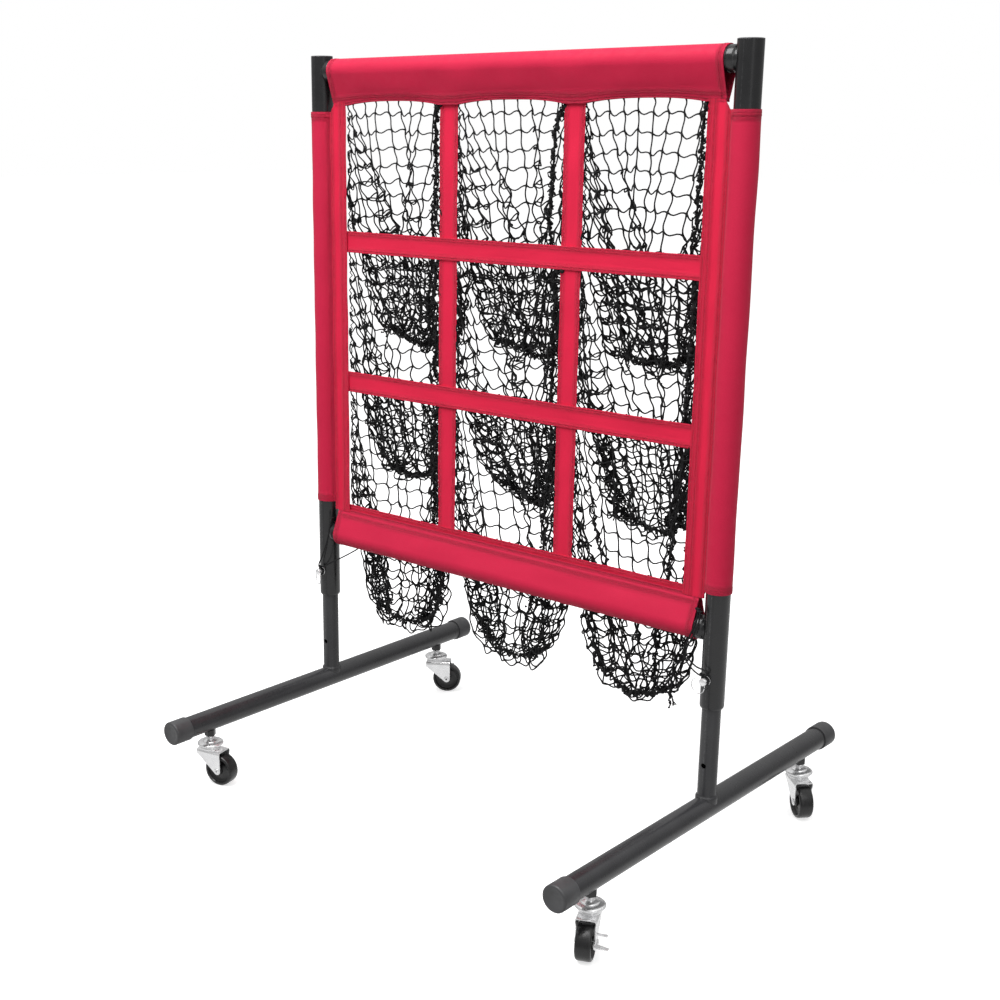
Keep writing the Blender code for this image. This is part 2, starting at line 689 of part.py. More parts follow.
def build_brake_lever(tag, swivel):
    """A stamped lever that rocks on the axle, with two tabs for the foot: press down, or lift off."""
    inside = FORK_HALF_WIDTH + GAP
    outside = inside + 0.0015
    side_view = arc(0.0, 0.0, 0.0080, 120, 290, 8)
    side_view += [(0.0160, -0.0040), (0.0235, 0.0020), (0.0235, 0.0060), (0.0130, 0.0075)]
    side_view += [(0.0120, 0.0190), (0.0060, 0.0205)]
    lever = flat(f"brake_lever_{tag}", [side_view], outside - inside, ZINC,
                 (CASTER_TRAIL, (inside + outside) / 2, WHEEL_R), FACING_FRONT, swivel, as_mesh=True)
    low_tab = flat(f"cut_low_tab_{tag}", [[(0.0100, 0.0002), (0.0225, 0.0002), (0.0215, 0.0205),
                                           (0.0165, 0.0215)]], 0.0016,
                   location=(CASTER_TRAIL, inside, WHEEL_R + 0.0030), rotation=(0, 0, 0), parent=swivel,
                   as_mesh=True)
    high_tab = flat(f"cut_high_tab_{tag}", [[(0.0060, 0.0002), (0.0120, 0.0002), (0.0125, 0.0165),
                                             (0.0095, 0.0180), (0.0065, 0.0165)]], 0.0016,
                    location=(CASTER_TRAIL, inside, WHEEL_R + 0.0185), rotation=(0, 0, 0), parent=swivel,
                    as_mesh=True)
    for tab in (low_tab, high_tab):
        cut(lever, tab, "UNION")
    hole = (CASTER_TRAIL, 0, WHEEL_R)
    cut(lever, cylinder(f"cut_lever_{tag}", AXLE_HOLE_R, 0.06, hole, "+Y", 12, swivel))


# ---- assembly -----------------------------------------------------------------------------------
for side in SIDES:
    build_upright(side)
    build_base(side)
    build_lock_pin(side)
    build_tether(side)
build_crossbar("top", BAR_TOP_Z)
build_crossbar("bottom", BAR_BOTTOM_Z)
build_target()
for row in range(len(ROWS)):
    for column in range(len(COLUMNS)):
        build_pocket(row, column)
for (end, side), (trail_degrees, has_brake) in CASTERS.items():
    build_caster(end, side, trail_degrees, has_brake)
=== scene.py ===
"""Looks of the pitching target net: coated tubes, sewn red fabric, knotted netting and swivel casters.

Units are metres and +Z is up. The front of the target faces -Y. Every piece is built in the row frame.
"""

import json
import math

import bmesh
import bpy
import numpy as np
from mathutils import Matrix, Vector

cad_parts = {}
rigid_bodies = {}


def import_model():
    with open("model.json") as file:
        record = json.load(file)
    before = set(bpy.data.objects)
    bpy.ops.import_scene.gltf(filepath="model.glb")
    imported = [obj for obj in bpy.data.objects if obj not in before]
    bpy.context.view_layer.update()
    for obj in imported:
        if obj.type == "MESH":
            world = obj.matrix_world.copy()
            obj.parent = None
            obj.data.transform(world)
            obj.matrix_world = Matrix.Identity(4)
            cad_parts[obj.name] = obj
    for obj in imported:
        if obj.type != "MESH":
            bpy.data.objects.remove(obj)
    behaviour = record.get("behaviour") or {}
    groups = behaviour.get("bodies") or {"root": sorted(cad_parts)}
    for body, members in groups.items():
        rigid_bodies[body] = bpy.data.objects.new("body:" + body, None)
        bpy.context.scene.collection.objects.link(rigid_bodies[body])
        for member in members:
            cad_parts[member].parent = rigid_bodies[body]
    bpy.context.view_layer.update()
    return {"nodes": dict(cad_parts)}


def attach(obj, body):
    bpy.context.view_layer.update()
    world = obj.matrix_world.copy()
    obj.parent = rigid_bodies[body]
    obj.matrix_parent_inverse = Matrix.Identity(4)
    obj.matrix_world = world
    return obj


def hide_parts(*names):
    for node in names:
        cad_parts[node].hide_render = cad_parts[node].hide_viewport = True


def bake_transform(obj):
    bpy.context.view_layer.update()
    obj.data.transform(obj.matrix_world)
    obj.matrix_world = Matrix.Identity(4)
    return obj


for start_object in list(bpy.data.objects):
    bpy.data.objects.remove(start_object)
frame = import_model()

# ---- sizes of the assembly ----------------------------------------------------------------------
SHIFT_X = -0.0129
POST_SPACING = 0.850
TUBE_R = 0.019
TUBE_WALL = 0.0015
LOWER_POST_R = 0.015
LOWER_POST_TOP = 0.400
UPRIGHT_BOTTOM = 0.288
UPRIGHT_TOP = 1.273
LEG_AXIS_Z = 0.119
LEG_HALF_LENGTH = 0.395
LEG_CAP_R = 0.02125
LEG_CAP_BAND = 0.035
PIN_Z = 0.337
HEIGHT_TRAVEL = 0.1445
PIN_HOLE_R = 0.0045
PIN_R = 0.004
BAR_Z = {"top": 1.247, "bottom": 0.413}
BAR_HALF_LENGTH = 0.396
OPENING_WIDTH = 0.217
OPENING_HEIGHT = 0.2135
COLUMN_PITCH = 0.256
ROW_PITCH = 0.2505
OPENING_TOP_Z = 1.189
PANEL_TOP = 1.195
PANEL_BOTTOM = 0.4645
SLEEVE_HALF_LENGTH = 0.394
SIDE_SLEEVE_Z = (0.475, 1.179)
CASTER_Y = 0.307
WHEEL_R = 0.029
WHEEL_WIDTH = 0.024
CASTER_TRAIL = 0.0235
FORK_HALF_WIDTH = 0.0150
LEVER_ROOM = 0.0018

SIDES = {"left": -1, "right": 1}
ENDS = {"front": -1, "back": 1}
ROWS = ("top", "middle", "bottom")
COLUMNS = ("left", "centre", "right")
CASTERS = {
    ("front", "left"): (12, False),
    ("front", "right"): (295, True),
    ("back", "left"): (35, True),
    ("back", "right"): (318, False),
}


def post_x(side):
    return SIDES[side] * POST_SPACING / 2 + SHIFT_X


def linked(name, data):
    """A new object of this data, in the scene."""
    made = bpy.data.objects.new(name, data)
    bpy.context.scene.collection.objects.link(made)
    return made


# ---- camera -------------------------------------------------------------------------------------
CAMERA_PLACE = (1.4996, -1.8568, 1.1509)
CAMERA_TURN = (42.0047, 15.5981, 0.2254)


def build_camera():
    data = bpy.data.cameras.new("camera")
    data.sensor_width = 36.0
    data.lens = 52.399
    data.shift_x = 0.0672
    data.shift_y = 0.0353
    data.clip_end = 100.0
    camera = linked("camera", data)
    yaw, pitch, roll = (math.radians(angle) for angle in CAMERA_TURN)
    turn = Matrix.Rotation(yaw, 4, "Z") @ Matrix.Rotation(math.pi / 2 - pitch, 4, "X") @ Matrix.Rotation(roll, 4, "Z")
    camera.matrix_world = Matrix.Translation(CAMERA_PLACE) @ turn
    bpy.context.scene.camera = camera


build_camera()


# ---- materials ----------------------------------------------------------------------------------
class Finish:
    """A node material with a Principled shader, and short ways to add its nodes."""

    def __init__(self, name, colour, roughness, metallic=0.0, specular=0.5, sheen=0.0):
        self.material = bpy.data.materials.new(name)
        self.material.use_nodes = True
        self.tree = self.material.node_tree
        self.shader = self.tree.nodes["Principled BSDF"]
        self.shader.inputs["Base Color"].default_value = (*colour, 1.0)
        self.shader.inputs["Roughness"].default_value = roughness
        self.shader.inputs["Metallic"].default_value = metallic
        self.shader.inputs["Specular IOR Level"].default_value = specular
        self.shader.inputs["Sheen Weight"].default_value = sheen
        self.shader.inputs["Sheen Roughness"].default_value = 0.45
        self.place = self.node("ShaderNodeTexCoord").outputs["Object"]

    def node(self, kind, links=None, values=None, **settings):
        made = self.tree.nodes.new(kind)
        for setting, value in settings.items():
            setattr(made, setting, value)
        for socket, value in (values or {}).items():
            made.inputs[socket].default_value = value
        for socket, source in (links or {}).items():
            self.tree.links.new(source, made.inputs[socket])
        return made

    def noise(self, scale, detail=2.0, place=None):
        made = self.node("ShaderNodeTexNoise", {"Vector": place or self.place}, {"Scale": scale, "Detail": detail})
        return made.outputs["Fac"]

    def spread(self, value, low, high, start=0.35, end=0.65):
        """Maps a noise's middle range onto low to high."""
        made = self.node("ShaderNodeMapRange", {"Value": value},
                         {"From Min": start, "From Max": end, "To Min": low, "To Max": high})
        return made.outputs["Result"]

    def blend(self, share, first, second):
        """A mix of two colours, or of a source and a colour, by share."""
        made = self.node("ShaderNodeMix", {0: share}, data_type="RGBA")
        for socket, colour in ((6, first), (7, second)):
            if isinstance(colour, tuple):
                made.inputs[socket].default_value = (*colour, 1.0)
            else:
                self.tree.links.new(colour, made.inputs[socket])
        return made.outputs[2]

    def math(self, operation, first, second=None):
        made = self.node("ShaderNodeMath", operation=operation)
        for socket, value in enumerate((first, second)):
            if isinstance(value, (int, float)):
                made.inputs[socket].default_value = value
            elif value is not None:
                self.tree.links.new(value, made.inputs[socket])
        return made.outputs[0]

    def bump(self, height, strength, distance):
        """Adds a bump over those before it."""
        links = {"Height": height}
        before = self.shader.inputs["Normal"].links
        if before:
            links["Normal"] = before[0].from_socket
        made = self.node("ShaderNodeBump", links, {"Strength": strength, "Distance": distance})
        self.tree.links.new(made.outputs["Normal"], self.shader.inputs["Normal"])

    def colour(self, source):
        self.tree.links.new(source, self.shader.inputs["Base Color"])

    def roughness(self, source):
        self.tree.links.new(source, self.shader.inputs["Roughness"])


def worn_edges(finish, low, high):
    """How exposed a convex edge is, from 0 to 1."""
    return finish.spread(finish.node("ShaderNodeNewGeometry").outputs["Pointiness"], 0.0, 1.0, low, high)


def mottled(name, colour, roughness, mottle, shades, bump, rough=None, worn=None, scuff=None, **settings):
    """A material between two shades, with uneven gloss and a fine bump. Its worn edges are paler, evenly or in scuffs.

    mottle is (noise scale, detail), bump is (scale, detail, strength, depth), rough is (scale, detail, low, high), worn
    is (low, high, colour) and scuff is (scale, most).
    """
    finish = Finish(name, colour, roughness, **settings)
    base = finish.blend(finish.spread(finish.noise(*mottle), 0.0, 1.0), *shades)
    if worn:
        share = worn_edges(finish, *worn[:2])
        if scuff:
            share = finish.math("MULTIPLY", share, finish.spread(finish.noise(scuff[0]), 0.0, scuff[1]))
        base = finish.blend(share, base, worn[2])
    finish.colour(base)
    if rough:
        finish.roughness(finish.spread(finish.noise(*rough[:2]), *rough[2:]))
    finish.bump(finish.noise(*bump[:2]), *bump[2:])
    return finish.material


def coated_steel(name, shade, gloss):
    """Black powder coat, with a trace of blue. Its shade sets how dark it is, and the base's paler copy is painted
    light.
    """
    dark, pale = ((share * shade, share * shade, (share + 0.08) * shade) for share in (0.85, 1.2))
    return mottled(name, (shade, shade, 1.08 * shade), gloss, (14.0, 3.0), (dark, pale), (700.0, 2.0, 0.04, 0.0001),
                   (60.0, 3.0, gloss - 0.04, gloss + 0.04), (0.60, 0.70, (0.085, 0.085, 0.088)), (220.0, 0.6))


def twine(name, colour, roughness):
    lighter = tuple(2.2 * value for value in colour)
    return mottled(name, colour, roughness, (700.0, 2.0), (colour, lighter), (2600.0, 1.0, 0.6, 0.0003),
                   (240.0, 2.0, roughness - 0.1, roughness + 0.1), specular=0.25)


THREADS_PER_METRE = 1100.0


def red_fabric(name, shade):
    """Plain-woven polyester: the cloth attribute holds metres along the two thread directions and how near a seam is. A
    shade below 1 darkens the red, as painted shade.
    """
    # Painted shade: each colour's red is scaled by shade, so a shade below 1 makes a darker copy of the cloth.
    def dyed_and_shaded(red, green, blue):
        return shade * red, green, blue

    finish = Finish(name, dyed_and_shaded(0.73, 0.0140, 0.060), 0.58, specular=0.22, sheen=0.05)
    cloth = finish.node("ShaderNodeAttribute", attribute_name="cloth").outputs["Vector"]
    across = finish.node("ShaderNodeSeparateXYZ", {0: cloth})
    threads = [
        finish.math("SINE", finish.math("MULTIPLY", across.outputs[axis], THREADS_PER_METRE * math.tau / 2))
        for axis in (0, 1)
    ]
    weave = finish.math("MULTIPLY", *threads)
    patchy = finish.spread(finish.noise(9.0, 4.0, cloth), 0.0, 1.0)
    base = finish.blend(patchy, dyed_and_shaded(0.705, 0.0130, 0.0565), dyed_and_shaded(0.770, 0.0150, 0.0630))
    slubs = finish.spread(finish.noise(420.0, 2.0, cloth), 0.0, 0.35)
    woven = finish.blend(slubs, base, dyed_and_shaded(0.650, 0.0115, 0.0485))
    # Painted shade: the red darkens along the stitched seams, where the puckered cloth would shade itself.
    seam = finish.spread(across.outputs[2], 0.0, 0.38, 0.38, 1.0)
    finish.colour(finish.blend(seam, woven, dyed_and_shaded(0.340, 0.0060, 0.0240)))
    finish.roughness(finish.spread(finish.noise(70.0, 2.0, cloth), 0.56, 0.70))
    finish.bump(weave, 0.18, 0.00012)
    finish.bump(finish.noise(38.0, 3.0, cloth), 0.35, 0.0012)
    gathered = finish.spread(across.outputs[2], 0.0, 1.0, 0.02, 0.30)
    finish.bump(finish.math("MULTIPLY", finish.noise(330.0, 2.0, cloth), gathered), 0.9, 0.0014)
    return finish.material


STEEL = coated_steel("powder_coat", 0.011, 0.27)
# Painted light: the legs and lower posts take a paler copy of the same coat, standing in for the floor's light on them.
BASE_STEEL_PAINTED_LIGHT = coated_steel("powder_coat_base_painted_light", 0.030, 0.28)
PLASTIC = mottled(
    "moulded_plastic", (0.018, 0.018, 0.019), 0.42, (30.0, 2.0), ((0.050, 0.050, 0.052), (0.066, 0.066, 0.069)),
    (1700.0, 1.0, 0.25, 0.00015), (160.0, 2.0, 0.36, 0.52), (0.56, 0.66, (0.100, 0.098, 0.100)))
GLOSSY = mottled(
    "glossy_plastic", (0.010, 0.010, 0.011), 0.22, (40.0, 2.0), ((0.008, 0.008, 0.009), (0.014, 0.014, 0.015)),
    (150.0, 2.0, 0.25, 0.0006), (90.0, 3.0, 0.16, 0.30))
FABRIC = red_fabric("red_polyester", 1.0)
# Painted shade: the sleeves round the tubes take a darker copy of the same cloth.
TUBE_FABRIC_PAINTED_SHADE = red_fabric("red_polyester_tubes_painted_shade", 0.81)
THREAD = mottled(
    "red_thread", (0.60, 0.012, 0.046), 0.55, (300.0, 2.0), ((0.50, 0.009, 0.036), (0.66, 0.013, 0.052)),
    (4000.0, 2.0, 0.5, 0.0001), sheen=0.1)
TWINE = twine("net_twine", (0.0055, 0.0055, 0.006), 0.78)
ELASTIC = twine("tether_elastic", (0.0045, 0.0045, 0.0050), 0.66)
ZINC = mottled(
    "zinc_plate", (0.92, 0.92, 0.925), 0.26, (90.0, 3.0), ((0.87, 0.87, 0.88), (0.95, 0.95, 0.955)),
    (160.0, 2.0, 0.06, 0.0003), (120.0, 3.0, 0.20, 0.30), (0.54, 0.66, (0.96, 0.96, 0.96)), metallic=0.70)
WHEEL = mottled(
    "wheel_tread", (0.007, 0.007, 0.008), 0.30, (45.0, 3.0), ((0.0055, 0.0055, 0.006), (0.0100, 0.0100, 0.0105)),
    (900.0, 1.0, 0.05, 0.0001), (200.0, 2.0, 0.24, 0.36), (0.60, 0.70, (0.060, 0.058, 0.055)), (500.0, 0.7))


# ---- making pieces ------------------------------------------------------------------------------
def smooth(mesh, sharp):
    mesh.shade_smooth()
    mesh.set_sharp_from_angle(angle=math.radians(sharp))


def new_object(name, vertices, faces, material, sharp=35.0):
    mesh = bpy.data.meshes.new(name)
    mesh.from_pydata([tuple(map(float, v)) for v in vertices], [], [tuple(map(int, f)) for f in faces])
    mesh.materials.append(material)
    smooth(mesh, sharp)
    return linked(name, mesh)


def settle(piece, body, *nodes):
    """Rides the piece on its body, in place of the CAD nodes that it stands for."""
    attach(piece, body)
    if nodes:
        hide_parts(*nodes)
    return piece


ALONG = {
    "+Z": Matrix.Identity(4),
    "+X": Matrix.Rotation(math.radians(90), 4, "Y"),
    "-X": Matrix.Rotation(math.radians(-90), 4, "Y"),
    "+Y": Matrix.Rotation(math.radians(-90), 4, "X"),
    "-Y": Matrix.Rotation(math.radians(90), 4, "X"),
}


def turned(name, profile, material, place, along="+Z", steps=64, closed=False, turn=0.0):
    """A turned piece from (radius, height) pairs down its outer side. A closed profile has a bore."""
    vertices, rings = [], []
    for radius, height in profile:
        if radius < 1e-7:
            rings.append([len(vertices)] * steps)
            vertices.append((0.0, 0.0, height))
            continue
        rings.append(list(range(len(vertices), len(vertices) + steps)))
        vertices += [(radius * math.cos(math.tau * i / steps), radius * math.sin(math.tau * i / steps), height)
                     for i in range(steps)]
    pairs = list(zip(rings, rings[1:]))
    if closed:
        pairs.append((rings[-1], rings[0]))
    faces = []
    for upper, lower in pairs:
        for i in range(steps):
            corners = list(dict.fromkeys([upper[i], lower[i], lower[(i + 1) % steps], upper[(i + 1) % steps]]))
            if len(corners) > 2:
                faces.append(corners)
    piece = new_object(name, vertices, faces, material)
    shape = bmesh.new()
    shape.from_mesh(piece.data)
    bmesh.ops.recalc_face_normals(shape, faces=shape.faces)
    shape.to_mesh(piece.data)
    shape.free()
    piece.matrix_world = Matrix.Translation(place) @ Matrix.Rotation(turn, 4, "Z") @ ALONG[along]
    return piece


def bored(piece, radius, depth, place, along, steps=32):
    """Cuts a round hole through the piece and applies it."""
    cutter = turned(f"cut_{piece.name}", [(0, depth / 2), (radius, depth / 2), (radius, -depth / 2), (0, -depth / 2)],
                    piece.data.materials[0], place, along, steps)
    cut = piece.modifiers.new("hole", "BOOLEAN")
    cut.operation = "DIFFERENCE"
    cut.solver = "EXACT"
    cut.object = cutter
    bpy.context.view_layer.update()
    graph = bpy.context.evaluated_depsgraph_get()
    mesh = bpy.data.meshes.new_from_object(piece.evaluated_get(graph))
    piece.modifiers.clear()
    piece.data = mesh
    bpy.data.objects.remove(cutter)
    smooth(piece.data, 35)


def rounded_copy(name, node, material, edge, above=None):
    """A piece in the shape of a CAD node, with its edges rounded, or of only its part above a height."""
    shape = bmesh.new()
    shape.from_mesh(frame["nodes"][node].data)
    bmesh.ops.remove_doubles(shape, verts=shape.verts, dist=0.000002)
    if above is not None:
        everything = [*shape.verts, *shape.edges, *shape.faces]
        bmesh.ops.bisect_plane(shape, geom=everything, plane_co=(0, 0, above), plane_no=(0, 0, 1), clear_inner=True)
        bmesh.ops.bridge_loops(shape, edges=[side for side in shape.edges if side.is_boundary])
        bmesh.ops.recalc_face_normals(shape, faces=shape.faces)
    bmesh.ops.dissolve_limit(shape, angle_limit=math.radians(1.0), verts=shape.verts, edges=shape.edges)
    mesh = bpy.data.meshes.new(name)
    shape.to_mesh(mesh)
    shape.free()
    mesh.materials.clear()
    mesh.materials.append(material)
    piece = linked(name, mesh)
    bevel = piece.modifiers.new("edges", "BEVEL")
    bevel.width = edge
    bevel.segments = 2
    bevel.limit_method = "ANGLE"
    bevel.angle_limit = math.radians(32)
    smooth(mesh, 40)
    return piece


def unit(vectors, least=1e-12):
    """These vectors, each one unit long."""
    return vectors / (np.linalg.norm(vectors, axis=-1, keepdims=True) + least)


def rings(lines, tangent, first, radii, sides):
    """The vertices of rings about the points of lines. Each ring starts in the direction first."""
    angles = math.tau * np.arange(sides)[:, None] / sides
    second = np.cross(tangent, first)[..., None, :]
    ring = first[..., None, :] * np.cos(angles) + second * np.sin(angles)
    return (lines[..., None, :] + ring * radii[..., None, None]).reshape(-1, 3)


def ring_faces(count, sides):
    """The faces between one ring and the next of a tube."""
    level, k = np.meshgrid(np.arange(count - 1), np.arange(sides), indexing="ij")
    a, b = level * sides + k, level * sides + (k + 1) % sides
    return np.stack([a, b, b + sides, a + sides], axis=-1).reshape(-1, 4)


def tube_along(points, radii, sides=6, caps=True):
    """Vertices and faces of one tube along a line of points."""
    points = np.asarray(points, float)
    radii = np.broadcast_to(np.asarray(radii, float), (len(points),))
    tangent = unit(np.gradient(points, axis=0))
    first = [unit(np.cross(tangent[0], [0.31, 0.17, 0.94]))]
    for direction in tangent[1:]:
        first.append(unit(first[-1] - direction * (first[-1] @ direction)))
    faces = ring_faces(len(points), sides).tolist()
    if caps:
        last = (len(points) - 1) * sides
        faces += [list(range(sides))[::-1], list(range(last, last + sides))]
    return rings(points, tangent, np.array(first), radii, sides), faces


def many_tubes(lines, radii, sides):
    """Vertices and faces of many open tubes with the same number of points."""
    tangent = unit(np.gradient(lines, axis=1))
    guide = unit(np.cross(tangent.mean(axis=1), [0.31, 0.85, 0.42]), 1e-9)[:, None]
    first = unit(guide - tangent * (tangent * guide).sum(-1, keepdims=True))
    starts = np.arange(len(lines))[:, None, None] * lines.shape[1] * sides
    return rings(lines, tangent, first, radii, sides), (starts + ring_faces(lines.shape[1], sides)).reshape(-1, 4)


class Builder:
    """Collects the vertices and faces of one piece."""

    def __init__(self):
        self.vertices, self.faces, self.count = [], [], 0

    def add(self, vertices, faces):
        self.vertices.append(np.asarray(vertices, float).reshape(-1, 3))
        self.faces += [[int(i) + self.count for i in face] for face in faces]
        self.count += len(self.vertices[-1])

    def make(self, name, material, sharp=35.0):
        return new_object(name, np.concatenate(self.vertices), self.faces, material, sharp)


# ---- tethers ------------------------------------------------------------------------------------
# Each tether is a loop of thin elastic, from the end of the bottom bar to the lock pin and back.
TETHER_R = 0.0013
TETHER_ROUTES = {
    "left": [
        (-0.3960, -0.0212, 0.4460), (-0.3985, -0.0228, 0.4330), (-0.4035, -0.0232, 0.4130),
        (-0.4115, -0.0234, 0.3900), (-0.4215, -0.0242, 0.3660), (-0.4275, -0.0258, 0.3530),
        (-0.4268, -0.0268, 0.3462), (-0.4218, -0.0268, 0.3450), (-0.4145, -0.0250, 0.3490),
        (-0.4000, -0.0200, 0.3585), (-0.3840, -0.0125, 0.3680), (-0.3670, -0.0020, 0.3795),
        (-0.3570, 0.0140, 0.3900), (-0.3530, 0.0250, 0.4040), (-0.3520, 0.0275, 0.4180),
    ],
    "right": [
        (0.4040, -0.0215, 0.4470), (0.4030, -0.0232, 0.4277), (0.3925, -0.0245, 0.4000),
        (0.3845, -0.0240, 0.3800), (0.3845, -0.0240, 0.3695), (0.3930, -0.0245, 0.3580),
        (0.4060, -0.0258, 0.3490), (0.4190, -0.0268, 0.3452), (0.4275, -0.0268, 0.3470),
        (0.4290, -0.0268, 0.3515), (0.4240, -0.0266, 0.3550), (0.4090, -0.0262, 0.3575),
        (0.3970, -0.0262, 0.3650), (0.3900, -0.0262, 0.3760), (0.3935, -0.0262, 0.3900),
        (0.4020, -0.0255, 0.4080), (0.4085, -0.0248, 0.4280), (0.4095, -0.0240, 0.4450),
    ],
}


def smooth_route(points, steps):
    """A smooth curve through the route's points (Catmull-Rom), with this many steps for each span."""
    guides = [Vector(p) for p in points]
    guides = [2 * guides[0] - guides[1], *guides, 2 * guides[-1] - guides[-2]]
    found = []
    for before, start, end, after in zip(guides, guides[1:], guides[2:], guides[3:]):
        for i in range(steps):
            t = i / steps
            found.append(
                0.5 * (2 * start + (end - before) * t
                       + (2 * before - 5 * start + 4 * end - after) * t ** 2
                       + (3 * start - before - 3 * end + after) * t ** 3)
            )
    found.append(guides[-2])
    return found


def knot_line(centre, size, loops=2, steps=36):
    """A small knot: a trefoil-like line that closes on itself."""
    found = []
    for i in range(steps + 1):
        a = math.tau * i / steps
        found.append((
            centre[0] + size * (math.sin(a) + 0.9 * math.sin(loops * a)) * 0.5,
            centre[1] + size * 0.45 * math.sin(3 * a),
            centre[2] + size * (math.cos(a) - 0.9 * math.cos(loops * a)) * 0.5,
        ))
    return found


def build_tether(side):
    """The elastic, its knots at the bar, and what ties it to the pin: a knot and a few turns round the pin's neck."""
    x = post_x(side)
    line = [tuple(p) for p in smooth_route([(a + SHIFT_X, b, c) for a, b, c in TETHER_ROUTES[side]], 6)]
    elastic, ties, knots = Builder(), Builder(), Builder()
    elastic.add(*tube_along(line, TETHER_R, 8))
    piece = elastic.make(f"tether_elastic_{side}", ELASTIC)
    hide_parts(f"tether_{side}")
    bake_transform(piece)
    low = min(line, key=lambda point: point[2])
    ties.add(*tube_along(knot_line((low[0], low[1], low[2] + 0.002), 0.0036), 0.0012, 8, False))
    wrap = math.tau * np.linspace(0, 3.2, 90)
    ties.add(*tube_along(np.stack([x + 0.0062 * np.cos(wrap), -0.0212 - 0.0014 * wrap / math.tau,
                                   PIN_Z + 0.0062 * np.sin(wrap)], axis=1), 0.0011, 8))
    for end, size in ((line[0], 0.0042), (line[-1], 0.0036)):
        knots.add(*tube_along(knot_line(end, size), 0.0010, 8, False))
    tie = settle(ties.make(f"tether_tie_{side}", ELASTIC), f"pin_{side}")
    knot = settle(knots.make(f"tether_knots_{side}", ELASTIC), "frame")


for side in SIDES:
    build_tether(side)


# ---- steel frame --------------------------------------------------------------------------------
def tube_profile(radius, low, high):
    """An open tube with its outer end edges broken."""
    bore = radius - TUBE_WALL
    return [(radius - 0.0004, high), (radius, high - 0.0005), (radius, (low + high) / 2), (radius, low + 0.0005),
            (radius - 0.0004, low), (bore, low), (bore, high)]


def build_upright(side):
    x = post_x(side)
    inner = TUBE_R - TUBE_WALL
    mouth = LOWER_POST_R + 0.0004
    top, low, rim = UPRIGHT_TOP - 0.0020, UPRIGHT_BOTTOM, UPRIGHT_TOP
    profile = [
        (TUBE_R - 0.0004, top), (TUBE_R, top - 0.0005), (TUBE_R, low + 0.0040), (TUBE_R - 0.0004, low + 0.0016),
        (TUBE_R - 0.0014, low), (mouth, low), (mouth, low + 0.0030), (inner, low + 0.0070), (inner, top),
    ]
    tube = turned(f"upright_tube_{side}", profile, STEEL, (x, 0, 0), closed=True)
    bored(tube, PIN_HOLE_R, 0.06, (x, 0, PIN_Z), "+Y")
    settle(tube, "frame", f"upright_{side}")
    plug = [
        (0.0, rim - 0.0007), (TUBE_R - 0.0050, rim - 0.0006), (TUBE_R - 0.0036, rim - 0.0001), (TUBE_R - 0.0014, rim),
        (TUBE_R - 0.0004, rim - 0.0004), (TUBE_R + 0.0001, rim - 0.0011), (TUBE_R + 0.0001, rim - 0.0018),
        (inner - 0.0003, rim - 0.0018), (inner - 0.0003, rim - 0.0180), (0.0, rim - 0.0180),
    ]
    settle(turned(f"upright_plug_{side}", plug, PLASTIC, (x, 0, 0)), "frame", f"upright_cap_{side}")


def build_crossbar(level):
    profile = tube_profile(TUBE_R, -BAR_HALF_LENGTH, BAR_HALF_LENGTH)
    bar = turned(f"{level}_bar", profile, STEEL, (SHIFT_X, 0, BAR_Z[level]), "+X", closed=True)
    settle(bar, "frame", f"{level}_crossbar")
    spigot = TUBE_R - TUBE_WALL - 0.0003
    saddle = [
        (0.0, 0.0262), (0.0148, 0.0262), (0.0156, 0.0240), (0.0158, 0.0140), (0.0166, 0.0122), (0.0180, 0.0112),
        (0.0187, 0.0098), (TUBE_R, 0.0085), (TUBE_R, 0.0010), (TUBE_R - 0.0005, 0.0003), (spigot, 0.0003),
        (spigot, -0.0180), (spigot - 0.0012, -0.0200), (0.0, -0.0200),
    ]
    for side, sign in SIDES.items():
        place = (sign * BAR_HALF_LENGTH + SHIFT_X, 0, BAR_Z[level])
        piece = turned(f"saddle_{level}_{side}", saddle, GLOSSY, place, "+X" if sign > 0 else "-X")
        bored(piece, TUBE_R + 0.0003, 0.06, (post_x(side), 0, BAR_Z[level]), "+Z", 64)
        settle(piece, "frame", f"crossbar_saddle_{level}_{side}")


